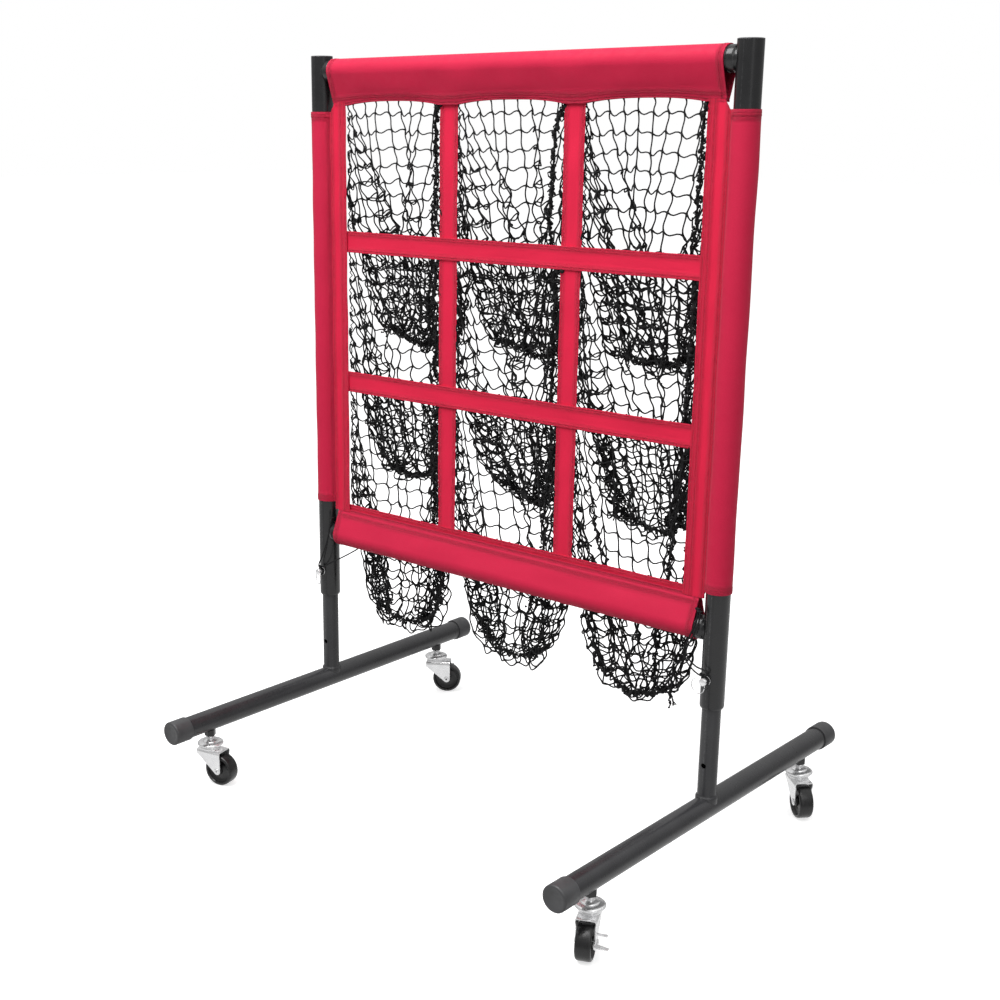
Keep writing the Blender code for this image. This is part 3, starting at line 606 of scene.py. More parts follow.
def build_base(side):
    x = post_x(side)
    body = f"{side}_base"
    weld = LEG_AXIS_Z + TUBE_R
    inner, post_r = LOWER_POST_R - TUBE_WALL, LOWER_POST_R
    profile = [
        (post_r - 0.0004, LOWER_POST_TOP), (post_r, LOWER_POST_TOP - 0.0005), (post_r, weld + 0.0045),
        (post_r + 0.0003, weld + 0.0030), (post_r + 0.0010, weld + 0.0014), (post_r + 0.0022, weld + 0.0002),
        (post_r + 0.0026, weld - 0.0016), (post_r + 0.0026, LEG_AXIS_Z), (inner, LEG_AXIS_Z), (inner, LOWER_POST_TOP),
    ]
    # The post and the leg take the paler coat, which paints the floor's light on them.
    post = turned(f"post_tube_{side}", profile, BASE_STEEL_PAINTED_LIGHT, (x, 0, 0), closed=True)
    bored(post, TUBE_R + 0.0002, 0.08, (x, 0, LEG_AXIS_Z), "+Y", 64)
    for height in (PIN_Z, PIN_Z - HEIGHT_TRAVEL):
        bored(post, PIN_HOLE_R - 0.0002, 0.06, (x, 0, height), "+Y")
    settle(post, body, f"lower_post_{side}")
    end_y, cap_r, band = LEG_HALF_LENGTH, LEG_CAP_R, LEG_HALF_LENGTH - LEG_CAP_BAND
    tube = tube_profile(TUBE_R, 0.0028 - end_y, end_y - 0.0028)
    leg = turned(f"leg_{side}", tube, BASE_STEEL_PAINTED_LIGHT, (x, 0, LEG_AXIS_Z), "+Y", closed=True)
    settle(leg, body, f"leg_tube_{side}")
    cap = [
        (0.0, end_y - 0.0006), (cap_r - 0.0060, end_y - 0.0005), (cap_r - 0.0046, end_y), (cap_r - 0.0022, end_y),
        (cap_r - 0.0010, end_y - 0.0005), (cap_r - 0.0002, end_y - 0.0016), (cap_r, end_y - 0.0030),
        (cap_r, band + 0.0010), (cap_r - 0.0004, band + 0.0002), (cap_r - 0.0010, band), (TUBE_R + 0.0002, band),
        (TUBE_R + 0.0002, end_y - 0.0025), (0.0, end_y - 0.0025),
    ]
    for end, sign in ENDS.items():
        piece = turned(f"leg_end_{end}_{side}", cap, PLASTIC, (x, 0, LEG_AXIS_Z), "+Y" if sign > 0 else "-Y")
        settle(piece, body, f"leg_cap_{end}_{side}")


# How far each split ring swings round its pin and leans out from it, in degrees.
RING_SWING = {"left": -26, "right": -7}
RING_LEAN = {"left": 12, "right": 48}
RING_HOLE_Y = -0.0300
RING_R = 0.0125
RING_WIRE_R = 0.0006


def build_lock_pin(side):
    """The pin, through both walls of the upright and the lower post, and the two turns of its split ring."""
    x = post_x(side)
    profile = [
        (0.0, 0.0340), (0.0034, 0.0338), (0.0054, 0.0332), (0.0060, 0.0322), (0.0060, 0.0286), (0.0048, 0.0276),
        (0.0040, 0.0224), (0.0066, 0.0221), (0.0073, 0.0214), (0.0073, 0.0204), (0.0066, 0.0196),
        (PIN_R, 0.0194), (PIN_R, -0.0210), (PIN_R - 0.0008, -0.0226), (PIN_R - 0.0022, -0.0234), (0.0, -0.0236),
    ]
    pin = turned(f"pin_{side}_body", profile, ZINC, (x, 0, PIN_Z), "-Y", 40)
    bored(pin, 0.0021, 0.02, (x, RING_HOLE_Y, PIN_Z), "+X", 24)
    settle(pin, f"pin_{side}", f"lock_pin_{side}")
    swung, leant = math.radians(RING_SWING[side]), math.radians(RING_LEAN[side])
    ring = Builder()
    for start, gap in ((0.0, 0.0), (0.35, 0.0008)):
        angles = np.linspace(start, start + math.tau * 0.93, 60)
        out = RING_R * (np.cos(angles) - math.sin(leant))
        line = np.stack([x + out * math.cos(swung), RING_HOLE_Y - gap + out * math.sin(swung),
                         PIN_Z + RING_R * (np.sin(angles) - math.cos(leant))], axis=1)
        ring.add(*tube_along(line, RING_WIRE_R, 8))
    settle(ring.make(f"split_ring_{side}", ZINC), f"pin_{side}", f"pin_ring_{side}")


for side in SIDES:
    build_upright(side)
    build_base(side)
    build_lock_pin(side)
for level in BAR_Z:
    build_crossbar(level)


# ---- casters ------------------------------------------------------------------------------------
def build_caster(end, side, trail_degrees, has_brake):
    tag = f"{end}_{side}"
    x, y = post_x(side), ENDS[end] * CASTER_Y
    turn = math.radians(trail_degrees)
    nut = rounded_copy(f"stem_nut_{tag}", f"caster_nut_{tag}", GLOSSY, 0.0006, 0.0898)
    settle(nut, f"{side}_base", f"caster_nut_{tag}")
    race = [
        (0.0, 0.1120), (0.0050, 0.1120), (0.0050, 0.0894), (0.0072, 0.0890), (0.0078, 0.0880), (0.0074, 0.0866),
        (0.0066, 0.0850), (0.0070, 0.0834), (0.0094, 0.0820), (0.0120, 0.0812), (0.0134, 0.0802), (0.0140, 0.0790),
        (0.0190, 0.0786), (0.0220, 0.0776), (0.0233, 0.0763), (0.0237, 0.0749), (0.0234, 0.0737), (0.0222, 0.0730),
        (0.0204, 0.0727), (0.0196, 0.0719), (0.0184, 0.0713), (0.0042, 0.0711), (0.0042, 0.0638),
        (0.0062, 0.0637), (0.0064, 0.0628), (0.0062, 0.0612), (0.0050, 0.0602), (0.0, 0.0600),
    ]
    settle(turned(f"swivel_race_{tag}", race, ZINC, (x, y, 0)), f"{side}_base", f"caster_race_{tag}")
    fork = rounded_copy(f"fork_plate_{tag}", f"caster_fork_{tag}", ZINC, 0.0005)
    settle(fork, f"swivel_{tag}", f"caster_fork_{tag}")
    hub = Vector((x, y, WHEEL_R)) + Matrix.Rotation(turn, 3, "Z") @ Vector((CASTER_TRAIL, 0, 0))
    half = WHEEL_WIDTH / 2
    wheel = [
        (0.0032, half - 0.0004), (0.0074, half - 0.0004), (0.0080, half - 0.0010), (0.0084, half - 0.0040),
        (0.0120, half - 0.0056), (0.0206, half - 0.0052), (0.0224, half - 0.0040), (0.0236, half - 0.0008),
        (0.0244, half - 0.0001), (0.0264, half), (0.0276, half - 0.0007), (0.0285, half - 0.0020),
        (WHEEL_R, half - 0.0042), (WHEEL_R, 0.0),
    ]
    wheel += [(radius, -height) for radius, height in reversed(wheel[:-1])]
    tyre = turned(f"wheel_{tag}_tyre", wheel, WHEEL, hub, "+Y", 72, closed=True, turn=turn)
    settle(tyre, f"wheel_{tag}", f"caster_wheel_{tag}")
    far = FORK_HALF_WIDTH + 0.0003 + (LEVER_ROOM if has_brake else 0.0)
    near = -FORK_HALF_WIDTH - 0.0003
    axle = [
        (0.0014, far - 0.0010), (0.0020, far + 0.0010), (0.0032, far + 0.0014), (0.0046, far + 0.0010),
        (0.0052, far + 0.0003), (0.0052, far), (0.0030, far), (0.0030, near), (0.0052, near),
        (0.0052, near - 0.0003), (0.0046, near - 0.0010), (0.0032, near - 0.0014), (0.0020, near - 0.0010),
        (0.0014, near + 0.0010),
    ]
    piece = turned(f"axle_rivet_{tag}", axle, ZINC, hub, "+Y", 40, closed=True, turn=turn)
    settle(piece, f"swivel_{tag}", f"caster_axle_{tag}")
    if has_brake:
        lever = rounded_copy(f"brake_plate_{tag}", f"brake_lever_{tag}", ZINC, 0.0004)
        settle(lever, f"brake_{tag}", f"brake_lever_{tag}")


for (end, side), (trail_degrees, has_brake) in CASTERS.items():
    build_caster(end, side, trail_degrees, has_brake)


# ---- sewn fabric --------------------------------------------------------------------------------
CLOTH = 0.0008
HEM_EXTRA = 0.0007
HEM_WIDTH = 0.010
ARCH = 0.0070
STITCH_PITCH = 0.0034
STITCH_LENGTH = 0.0025
STITCH_R = 0.00038
BAND_RIPPLE = 0.0007
SLEEVE_R = TUBE_R + 0.0010
SEAM_INSET = 0.0035
CROSSING_HALF_LENGTH = 0.374
OUTER_STRIP_EDGE = 0.4030
# How far a bar's hem reaches past its layers' join, and the seams of the two kinds of sleeve, from its hems' tips.
BAR_HEM = 0.004
BAR_HEM_GAP = 0.0030
BAR_SEAMS = (0.0030, 0.0125, -0.0030, -0.0125)
SIDE_REACH = 0.0245
SIDE_HEM = 0.0150
SIDE_HEM_GAP = 0.0010
SIDE_SEAMS = (0.0120, 0.0220, -0.0120)


def ripples(seed, longest, count=6):
    """A smooth wavy function of two lengths, with values of about -1 to 1."""
    rng = np.random.default_rng(seed)
    waves = []
    for k in range(count):
        angle = rng.uniform(0, math.pi)
        rate = math.tau / (longest * rng.uniform(0.35, 1.0))
        waves.append((rate * math.cos(angle), rate * math.sin(angle), rng.uniform(0, math.tau), 1.0 / (1 + 0.4 * k)))
    scale = sum(w[3] for w in waves) * 0.6

    def value(u, v):
        return sum(size * np.sin(a * u + b * v + phase) for a, b, phase, size in waves) / scale

    return value


def opening_arch(x):
    """How far an opening's top edge rises above its corners, at x in the assembly's own frame."""
    found = np.zeros_like(x)
    for column in (-1, 0, 1):
        t = (x - column * COLUMN_PITCH) / (OPENING_WIDTH / 2)
        found = np.where(np.abs(t) < 1, ARCH * (1 - np.abs(t) ** 2.6), found)
    return found


SEAM_SAMPLES = (-0.0034, -0.0022, -0.0013, -0.0006, 0.0, 0.0006, 0.0013, 0.0022, 0.0034)


def with_seams(lengths, seams):
    """These lengths, with closer ones added about each seam."""
    found = list(lengths)
    for seam in seams:
        found = [v for v in found if abs(v - seam) > 0.0040 or v in (lengths[0], lengths[-1])]
        found += [seam + d for d in SEAM_SAMPLES if lengths[0] < seam + d < lengths[-1]]
    found = np.array(sorted(found))
    return found[np.concatenate([[True], np.diff(found) > 0.00015])]


def pucker(us, vs, u_seams, v_seams, seed, draw):
    """How the cloth is drawn in along its stitched seams: the change of thickness, and how near a seam is, which the
    red fabric uses for painted shade and a gathered bump.
    """
    change, near, around = (np.zeros((len(us), len(vs))) for _ in range(3))
    rng = np.random.default_rng(seed)
    for lengths, along, seams, turned_round in ((us, vs, u_seams, False), (vs, us, v_seams, True)):
        for seam in seams:
            away = np.abs(lengths - seam)[:, None]
            phase = rng.uniform(0, math.tau, 4)
            fine, broad, finest, middling = (
                np.sin(along * math.tau / length + p) for length, p in zip((0.0113, 0.041, 0.0073, 0.029), phase))
            gathers = np.clip(1 + 0.9 * fine * broad + 0.5 * finest + 0.4 * middling, 0.0, 2.4)[None]
            ridge = draw * np.exp(-((away - 0.0019) / 0.0009) ** 2) * gathers
            groove = -draw / 3 * np.exp(-(away / 0.0007) ** 2)
            close = np.exp(-(away / 0.0007) ** 2) * np.clip(gathers, 0.1, 1.0)
            about = np.broadcast_to(np.exp(-(away / 0.0055) ** 2), ridge.shape)
            raised = ridge + groove
            if turned_round:
                raised, close, about = raised.T, close.T, about.T
            change = change + raised
            near, around = np.maximum(near, close), np.maximum(around, about)
    return change, 0.65 * near + 0.35 * around


class Sheet:
    """A closed thin piece of cloth from a grid of points on its middle surface."""

    def __init__(self, us, vs, points, thickness, u_seams, v_seams, seed, draw=0.0009):
        self.us, self.vs = np.asarray(us, float), np.asarray(vs, float)
        self.points = np.asarray(points, float) + np.array([SHIFT_X, 0, 0])
        change, self.near = pucker(self.us, self.vs, u_seams, v_seams, seed, draw)
        self.thickness = np.broadcast_to(thickness, self.points.shape[:2]) + change
        self.normals = unit(np.cross(*(np.gradient(self.points, axis=axis) for axis in (0, 1))), 1e-15)

    def make(self, name, material=FABRIC):
        m, n = self.points.shape[:2]
        offset = self.normals * self.thickness[..., None] / 2
        vertices = np.concatenate([(self.points + offset).reshape(-1, 3), (self.points - offset).reshape(-1, 3)])
        index = np.arange(m * n).reshape(m, n)
        a, b, c, d = index[:-1, :-1], index[1:, :-1], index[1:, 1:], index[:-1, 1:]
        outer = np.stack([a, b, c, d], axis=-1).reshape(-1, 4)
        faces = [outer, outer[:, ::-1] + m * n]
        rim = np.concatenate([index[:, 0], index[-1, 1:], index[-2::-1, -1], index[0, -2:0:-1]])
        after = np.roll(rim, -1)
        faces.append(np.stack([after, rim, rim + m * n, after + m * n], axis=-1))
        piece = new_object(name, vertices, np.concatenate(faces), material, 60.0)
        uv = np.zeros((m, n, 3))
        # The third value, how near a seam is, darkens the red fabric there as painted shade.
        uv[..., 0], uv[..., 1], uv[..., 2] = self.us[:, None], self.vs[None], self.near
        layer = piece.data.attributes.new("cloth", "FLOAT_VECTOR", "POINT")
        layer.data.foreach_set("vector", np.concatenate([uv.reshape(-1, 3)] * 2).ravel())
        return piece

    def line(self, u=None, v=None, low=-math.inf, high=math.inf):
        """Points, normals and half thicknesses along the line of constant u or v."""
        lengths, others, at = (self.vs, self.us, u) if v is None else (self.us, self.vs, v)
        place = np.interp(at, others, np.arange(len(others)))
        i = int(min(place, len(others) - 2))
        t = place - i
        keep = (lengths >= low) & (lengths <= high)
        found = []
        for grid in (self.points, self.normals, self.thickness / 2):
            rows = grid if v is None else grid.swapaxes(0, 1)
            found.append((rows[i] * (1 - t) + rows[i + 1] * t)[keep])
        return found


STITCH_FACES = np.array([[0, 1, 2], [0, 2, 3], [0, 3, 4], [0, 4, 1], [5, 2, 1], [5, 3, 2], [5, 4, 3], [5, 1, 4]])


class Stitches:
    """Rows of short thread lengths on both faces of a sheet."""

    def __init__(self):
        self.made = Builder()

    def sew(self, line):
        points, normals, half = line
        at = np.concatenate([[0.0], np.cumsum(np.linalg.norm(np.diff(points, axis=0), axis=1))])
        middles = np.arange(STITCH_PITCH, at[-1] - STITCH_PITCH / 2, STITCH_PITCH)
        if len(middles) == 0:
            return

        def sampled(values, where):
            return np.stack([np.interp(where, at, values[:, k]) for k in range(3)], axis=1)

        centre = sampled(points, middles)
        ahead = unit(sampled(points, middles + 0.0005) - sampled(points, middles - 0.0005))
        normal = unit(sampled(normals, middles))
        lift = np.interp(middles, at, half)[:, None]
        side = np.cross(normal, ahead) * STITCH_R
        reach = ahead * STITCH_LENGTH / 2
        for sign, order in ((1, 1), (-1, -1)):
            up = sign * normal * STITCH_R
            seat = centre + sign * normal * lift
            ring = (seat + up * 1.2, seat + side, seat - up, seat - side)
            vertices = np.stack([seat - reach - up * 0.5, *ring, seat + reach - up * 0.5], axis=1)
            faces = np.arange(len(middles))[:, None, None] * 6 + STITCH_FACES[None, :, ::order]
            self.made.add(vertices, faces.reshape(-1, 3))

    def make(self, name):
        return settle(self.made.make(name, THREAD, 80.0), "frame")


def hem_thickness(us, vs, ends=HEM_WIDTH, sides=0.0):
    """Cloth thickness, doubled where the ends, or the sides, are folded over."""
    def fold(lengths, width):
        if not width:
            return np.zeros(len(lengths))
        inside = np.minimum(lengths - lengths[0], lengths[-1] - lengths)
        return np.clip((width - inside) / 0.0015, 0, 1)
    return CLOTH + HEM_EXTRA * np.maximum(fold(us, ends)[:, None], fold(vs, sides)[None])


def sewn_band(name, box, y, seed, lines, stitch, nodes=(), sides=0.006, step=0.004, lower_edge=None,
              upper_edge=None):
    """A flat stitched band that faces -Y, with faint ripples. Its u runs along x and its v down."""
    x_low, x_high, z_low, z_high = box
    width, height = x_high - x_low, z_high - z_low
    u_seams = [line["u"] for line in lines if "u" in line]
    v_seams = [line["v"] for line in lines if "v" in line]
    across, down = (max(int(round(length / step)), 8) for length in (width, height))
    us = with_seams(np.linspace(x_low, x_high, across + 1), u_seams)
    vs = with_seams(np.linspace(0, height, down + 1), v_seams)
    x, depth = np.meshgrid(us, vs, indexing="ij")
    z = z_high - depth
    area = None
    if upper_edge is not None:
        z = z - upper_edge(x) * np.clip(1 - depth / 0.05, 0, 1)
    if lower_edge is not None:
        z = z + lower_edge(x) * depth / height
        area = float(np.mean(height - lower_edge(us)) * width)
    grid = np.stack([x, y + ripples(seed, 0.14)(x, z) * BAND_RIPPLE, z], axis=-1)
    sheet = Sheet(us, vs, grid, hem_thickness(us, vs, 0.0, sides), u_seams, v_seams, seed)
    piece = settle(sheet.make(name), "frame", *nodes)
    for line in lines:
        stitch.sew(sheet.line(**line))


def sleeve_profile(reach, hem, layer_gap, seams, spread=36, run=8):
    """The outline of a sleeve as (towards hem, towards front), from its front hem's tip round the tube to its back's.

    A seam is a length from the front hem's tip, or a negative one from the back's, and has closer points about it.
    """
    lean = math.acos(SLEEVE_R / reach)
    arc = np.linspace(lean, math.tau - lean, spread)
    round_tube = np.stack([SLEEVE_R * np.cos(arc), SLEEVE_R * np.sin(arc)], axis=1)
    front = np.array([[reach + hem, layer_gap], [reach + hem / 2, layer_gap], [reach, layer_gap]])
    back = front[::-1] * [1, -1]
    t = np.linspace(0, 1, run + 2)[1:-1, None]
    outline = np.concatenate([front, front[-1] * (1 - t) + round_tube[0] * t, round_tube,
                              round_tube[-1] * (1 - t) + back[0] * t, back])
    lengths = np.concatenate([[0], np.cumsum(np.linalg.norm(np.diff(outline, axis=0), axis=1))])
    seams = [seam if seam > 0 else lengths[-1] + seam for seam in seams]
    found = with_seams(lengths, seams)
    return np.stack([np.interp(found, lengths, outline[:, k]) for k in range(2)], axis=1), found, seams


def sew_sleeve(name, us, lengths, grid, seams, flip, hem, draw, trim, seed):
    """Makes a sleeve from its grid and stitches its seams. A flipped one runs from its back hem."""
    u_seams, v_seams = seams
    total = lengths[-1]
    if flip:
        grid, lengths, v_seams = grid[:, ::-1], total - lengths[::-1], [total - v for v in v_seams]
    sheet = Sheet(us, lengths, grid, hem_thickness(us, lengths, HEM_WIDTH, hem), u_seams, v_seams, seed, draw)
    # The sleeve takes the darker copy of the cloth, which is painted shade.
    piece = settle(sheet.make(f"{name}_sleeve_cloth", TUBE_FABRIC_PAINTED_SHADE), "frame", f"{name}_sleeve")
    stitch = Stitches()
    for v in v_seams:
        stitch.sew(sheet.line(v=v))
    for u in u_seams:
        stitch.sew(sheet.line(u=u, low=trim, high=total - trim))
    stitch.make(f"{name}_sleeve_stitching")


def bar_sleeve(level, seed):
    """The sleeve round a crossbar. The top one's hem points down and the bottom one's points up."""
    down = level == "top"
    reach = abs(BAR_Z[level] - (OPENING_TOP_Z if down else PANEL_BOTTOM)) - BAR_HEM
    outline, lengths, v_seams = sleeve_profile(reach, BAR_HEM, BAR_HEM_GAP, BAR_SEAMS)
    half = SLEEVE_HALF_LENGTH
    u_seams = [2 * SEAM_INSET - half, half - 2 * SEAM_INSET]
    us = with_seams(np.linspace(-half, half, 181), u_seams)
    x, _ = np.meshgrid(us, lengths, indexing="ij")
    towards, front = (np.broadcast_to(outline[:, k], x.shape) for k in range(2))
    free = np.clip((towards - 0.004) / (reach - 0.004), 0, 1)
    slack = ripples(seed, 0.20)(x, lengths[None] * 1.5) * 0.0011
    slack = slack * np.sin(math.pi * np.clip(towards / (reach + BAR_HEM), 0, 1))
    front = front + np.where(front > 0, 1.0, -1.0) * (slack + 0.0006 * free * (1 - free) * 4)
    z = BAR_Z[level] + (-1.0 if down else 1.0) * towards
    if down:
        z = z + opening_arch(x) * np.clip((towards - 0.030) / (reach + BAR_HEM - 0.030), 0, 1)
    sew_sleeve(level, us, lengths, np.stack([x, -front, z], axis=-1), (u_seams, v_seams), not down,
               0.014, 0.0008 if down else 0.0005, 0.012, seed)


def side_sleeve(side, seed):
    """The sleeve round an upright. Its hem points inwards to the outer strip."""
    sign = SIDES[side]
    outline, lengths, v_seams = sleeve_profile(SIDE_REACH, SIDE_HEM, SIDE_HEM_GAP, SIDE_SEAMS)
    low, high = SIDE_SLEEVE_Z
    u_seams = [0.0060, 0.0100, high - low - 0.0100, high - low - 0.0060]
    us = with_seams(np.linspace(0, high - low, 161), u_seams)
    height, _ = np.meshgrid(us, lengths, indexing="ij")
    towards, front = (np.broadcast_to(outline[:, k], height.shape) for k in range(2))
    swell = 1 + 0.028 * ripples(seed, 0.22)(height, lengths[None] * 2) * (towards < 0.019)
    grid = np.stack([sign * POST_SPACING / 2 - sign * towards * swell, -front * swell, high - height], axis=-1)
    sew_sleeve(side, us, lengths, grid, (u_seams, v_seams), sign < 0,
               0.006, 0.0004, 0.008, seed)


def build_face():
    """The flat bands of the target: uprights first, crossings over them, then the outer strips and the facings."""
    stitch = Stitches()
    half_band = (COLUMN_PITCH - OPENING_WIDTH) / 2
    for side, sign, seed in (("left", -1, 11), ("right", 1, 12)):
        middle = sign * COLUMN_PITCH / 2
        box = (middle - half_band, middle + half_band, PANEL_BOTTOM - 0.004, PANEL_TOP + 0.004)
        lines = [{"u": middle - half_band + SEAM_INSET}, {"u": middle + half_band - SEAM_INSET}]
        sewn_band(f"upright_band_{side}", box, 0.0006, seed, lines, stitch)
    for row, (level, nodes) in enumerate((("upper", ("target_panel",)), ("lower", ()))):
        high, low = OPENING_TOP_Z - OPENING_HEIGHT - row * ROW_PITCH, OPENING_TOP_Z - (row + 1) * ROW_PITCH
        lines = [{"v": SEAM_INSET}, {"v": high - low - SEAM_INSET}]
        box = (-CROSSING_HALF_LENGTH, CROSSING_HALF_LENGTH, low, high)
        sewn_band(f"crossing_band_{level}", box, -0.0012, 21 + row, lines, stitch, nodes)
    inner = COLUMN_PITCH + OPENING_WIDTH / 2
    for side, sign, seed in (("left", -1, 31), ("right", 1, 32)):
        box = (*sorted((sign * inner, sign * OUTER_STRIP_EDGE)), PANEL_BOTTOM - 0.004, PANEL_TOP + 0.003)
        lines = [{"u": sign * x} for x in (inner + SEAM_INSET, inner + 0.0120, 0.3990)]
        sewn_band(f"outer_strip_{side}", box, -0.0036, seed, lines, stitch,
                  upper_edge=lambda x: 0.020 * np.clip((np.abs(x) - 0.388) / 0.013, 0, 1))
    reach = inner + 0.004
    sewn_band("top_facing", (-reach, reach, OPENING_TOP_Z + 0.0015, PANEL_TOP + 0.008), 0.0004, 41, [],
              stitch, step=0.0035, lower_edge=opening_arch, sides=0.0)
    sewn_band("bottom_facing", (-reach, reach, PANEL_BOTTOM - 0.004, PANEL_BOTTOM + 0.010), -0.0006, 42,
              [{"v": SEAM_INSET}], stitch, step=0.0035, sides=0.0)
    stitch.make("face_stitching")


build_face()
bar_sleeve("top", 51)
bar_sleeve("bottom", 52)
side_sleeve("left", 53)
side_sleeve("right", 54)


# ---- net pockets --------------------------------------------------------------------------------
MESH_SIZE = 0.029
NET_ROWS = 15
NET_COLUMNS = 36
TOP_COLUMNS = 8
SEAM_COLUMN = NET_COLUMNS // 2 - 5
TWINE_R = 0.0011
FIRST_ROW = 0.019
ROW_DEPTHS = np.concatenate([[0.0], FIRST_ROW + MESH_SIZE * np.arange(NET_ROWS)])
UNEVEN = 0.035
# More twine than the mesh size needs: lower down, lower down in the bottom row, and at the sides of the opening.
LOWER_FULLNESS = 1.08
LOWEST_FULLNESS = 1.08
SIDE_FULLNESS = 1.22
# The hem: how much its corners are gathered up, how much its columns are drawn up, and its width once laced.
CORNER_GATHER = (0.22, 0.34)
DRAWN_UP = 0.35
LACED_WIDTH = (0.146, 0.168)
# How far behind the panel the netting may be at each depth: in front of the pocket below, behind the panel.
CORRIDOR_DEPTH = (0.0, 0.05, 0.13, 0.215, 0.25, 0.34, 0.45)
CORRIDOR_FRONT = (0.002, 0.003, 0.004, 0.006, 0.030, 0.050, 0.058)
CORRIDOR_BACK = (0.008, 0.030, 0.050, 0.074, 0.088, 0.108, 0.112)
# The bottom row hangs behind the bottom bar, with no pocket in front of it.
LOWEST_FRONT = (0.002, 0.003, 0.004, 0.012, 0.0225, 0.0225, 0.0225)
LOWEST_BACK = (0.008, 0.030, 0.048, 0.062, 0.066, 0.068, 0.064)
# How far to the sides the netting may be, between these depths, and how its side seam sags inwards as it goes back.
REACH_DEPTH = (0.24, 0.46)
REACH = (0.1115, 0.0840)
SEAM_REACH = 0.100
SEAM_SAG = 0.9
SEAM_PLAY = 0.010
# What moves the knots as the netting settles: steps, passes over the twine in each, and accelerations.
SETTLE_STEPS = 560
SETTLE_PASSES = 12
TIME_STEP = 0.004
KEPT_SPEED = 0.965
GRAVITY = 2.3
PUFF = 0.36
ROW_LEAN = (0.06, 0.06, -0.10)
CRUMPLES = ((3, 1.2), (6, 2.2), (11, 2.2), (16, 1.4))
# Twine is crushed when its ends are nearer than these shares of its length.
LEAST_DOWN = 0.35
LEAST_AROUND = 0.30
# Sizes of the twine's knots and of the cords that lace the pocket.
KNOT_SIZES = (0.0015, 0.0021)
SEAM_KNOT_SIZES = (0.0040, 0.0018)
CLUMP_SIZES = (0.0018, 0.0038)
SEAM_CORD_R = 0.0013
HEM_CORD_R = 0.0011
TAIL_R = 0.0012


def rim_points():
    """Where each column of the netting is sewn to the opening, as (x, z) from the middle of its top edge."""
    side = (NET_COLUMNS - 2 * TOP_COLUMNS) // 2
    half = side // 2
    half_width = OPENING_WIDTH / 2
    up = OPENING_HEIGHT * (np.arange(side) + 0.5) / side
    across = OPENING_WIDTH * (np.arange(TOP_COLUMNS) + 0.5) / TOP_COLUMNS - half_width
    found = [(-half_width, -z) for z in up[:half][::-1]]
    found += [(x, 0.0) for x in across]
    found += [(half_width, -z) for z in up]
    found += [(x, -OPENING_HEIGHT) for x in across[::-1]]
    found += [(-half_width, -z) for z in up[half:][::-1]]
    return np.array(found)


def at_side(rim):
    """Which of these places are on the two side edges of the opening."""
    return np.abs(np.abs(rim[:, 0]) - OPENING_WIDTH / 2) < 1e-6


def sewn_knots():
    """Which knots are sewn to the opening's edge, and where: above its own start, a column stays on the edge."""
    rim = rim_points()
    sewn = ROW_DEPTHS[:, None] <= -rim[None, :, 1] + 1e-9
    sewn[0] = True
    places = np.zeros((NET_ROWS + 1, NET_COLUMNS, 3))
    places[..., 0] = rim[:, 0]
    places[..., 1] = 0.002
    places[..., 2] = np.where(at_side(rim), -ROW_DEPTHS[:, None], rim[None, :, 1])
    return sewn, places


def crumple(rng, shape):
    """A steady push on each knot that puts folds and creases in the netting, more so lower down."""
    count, rows, columns, _ = shape
    r, k = np.meshgrid(np.arange(rows), np.arange(columns), indexing="ij")
    push = rng.normal(0, 1.1, shape)
    for waves, size in CRUMPLES:
        phase = rng.uniform(0, math.tau, (count, 1, 1, 3))
        drift = rng.uniform(-0.35, 0.35, (count, 1, 1, 3))
        angle = (math.tau * waves * k / columns)[None, ..., None] + drift * r[None, ..., None] + phase
        push += size * np.sin(angle)
    push[..., 2] *= 0.6
    push *= (0.25 + 0.75 * np.clip((r - 1) / 7, 0, 1))[None, ..., None]
    return push


def cut_twine(rng, count):
    """The length of twine down from each knot, and of that to the next knot round the pocket."""
    rows, columns, half = NET_ROWS, NET_COLUMNS, NET_COLUMNS // 2
    down = np.full((count, rows, columns), MESH_SIZE)
    down[:, 0] = FIRST_ROW
    down *= 1 + rng.normal(0, UNEVEN, down.shape)
    # The bottom hem is rounded: its corners are gathered up. The bottom row's pockets are a little longer.
    corner = np.abs((np.arange(columns) % half) - (half - 1) / 2) / (half / 2)
    down[:, rows - 5:] *= 1 - rng.uniform(*CORNER_GATHER, (count, 1, 1)) * corner ** 3
    down[:, 6:] *= LOWER_FULLNESS
    down[6:, 8:] *= LOWEST_FULLNESS
    # Some of the columns are drawn up into the hem.
    drawn = np.convolve(rng.random(count * half), (0.25, 0.5, 0.25), "same").reshape(count, 1, half)
    drawn = np.clip(drawn * 2.6 - 1.0, 0, 1) * DRAWN_UP
    down[:, rows - 2:] *= 1 - np.concatenate([drawn, drawn[..., ::-1]], axis=2)
    around = np.full((count, rows + 1, columns), MESH_SIZE)
    around *= 1 + rng.normal(0, UNEVEN, around.shape)
    # The netting is fullest at the two sides of the opening.
    around *= np.where(at_side(rim_points()), SIDE_FULLNESS, 1.0)
    return down, around


def drawn_together(first, second, free_first, free_second, limit, least):
    """How far the knots at both ends of taut, or crushed, twine move along it."""
    gap = second - first
    length = np.linalg.norm(gap, axis=-1)
    slack = np.where(length > limit, length - limit,
                     np.where(length < least * limit, (length - least * limit) * 0.3, 0))
    shift = (slack / (length + 1e-9))[..., None] * gap
    share = free_first / (free_first + free_second + 1e-9)
    return shift * share, shift * (1 - share) * free_second


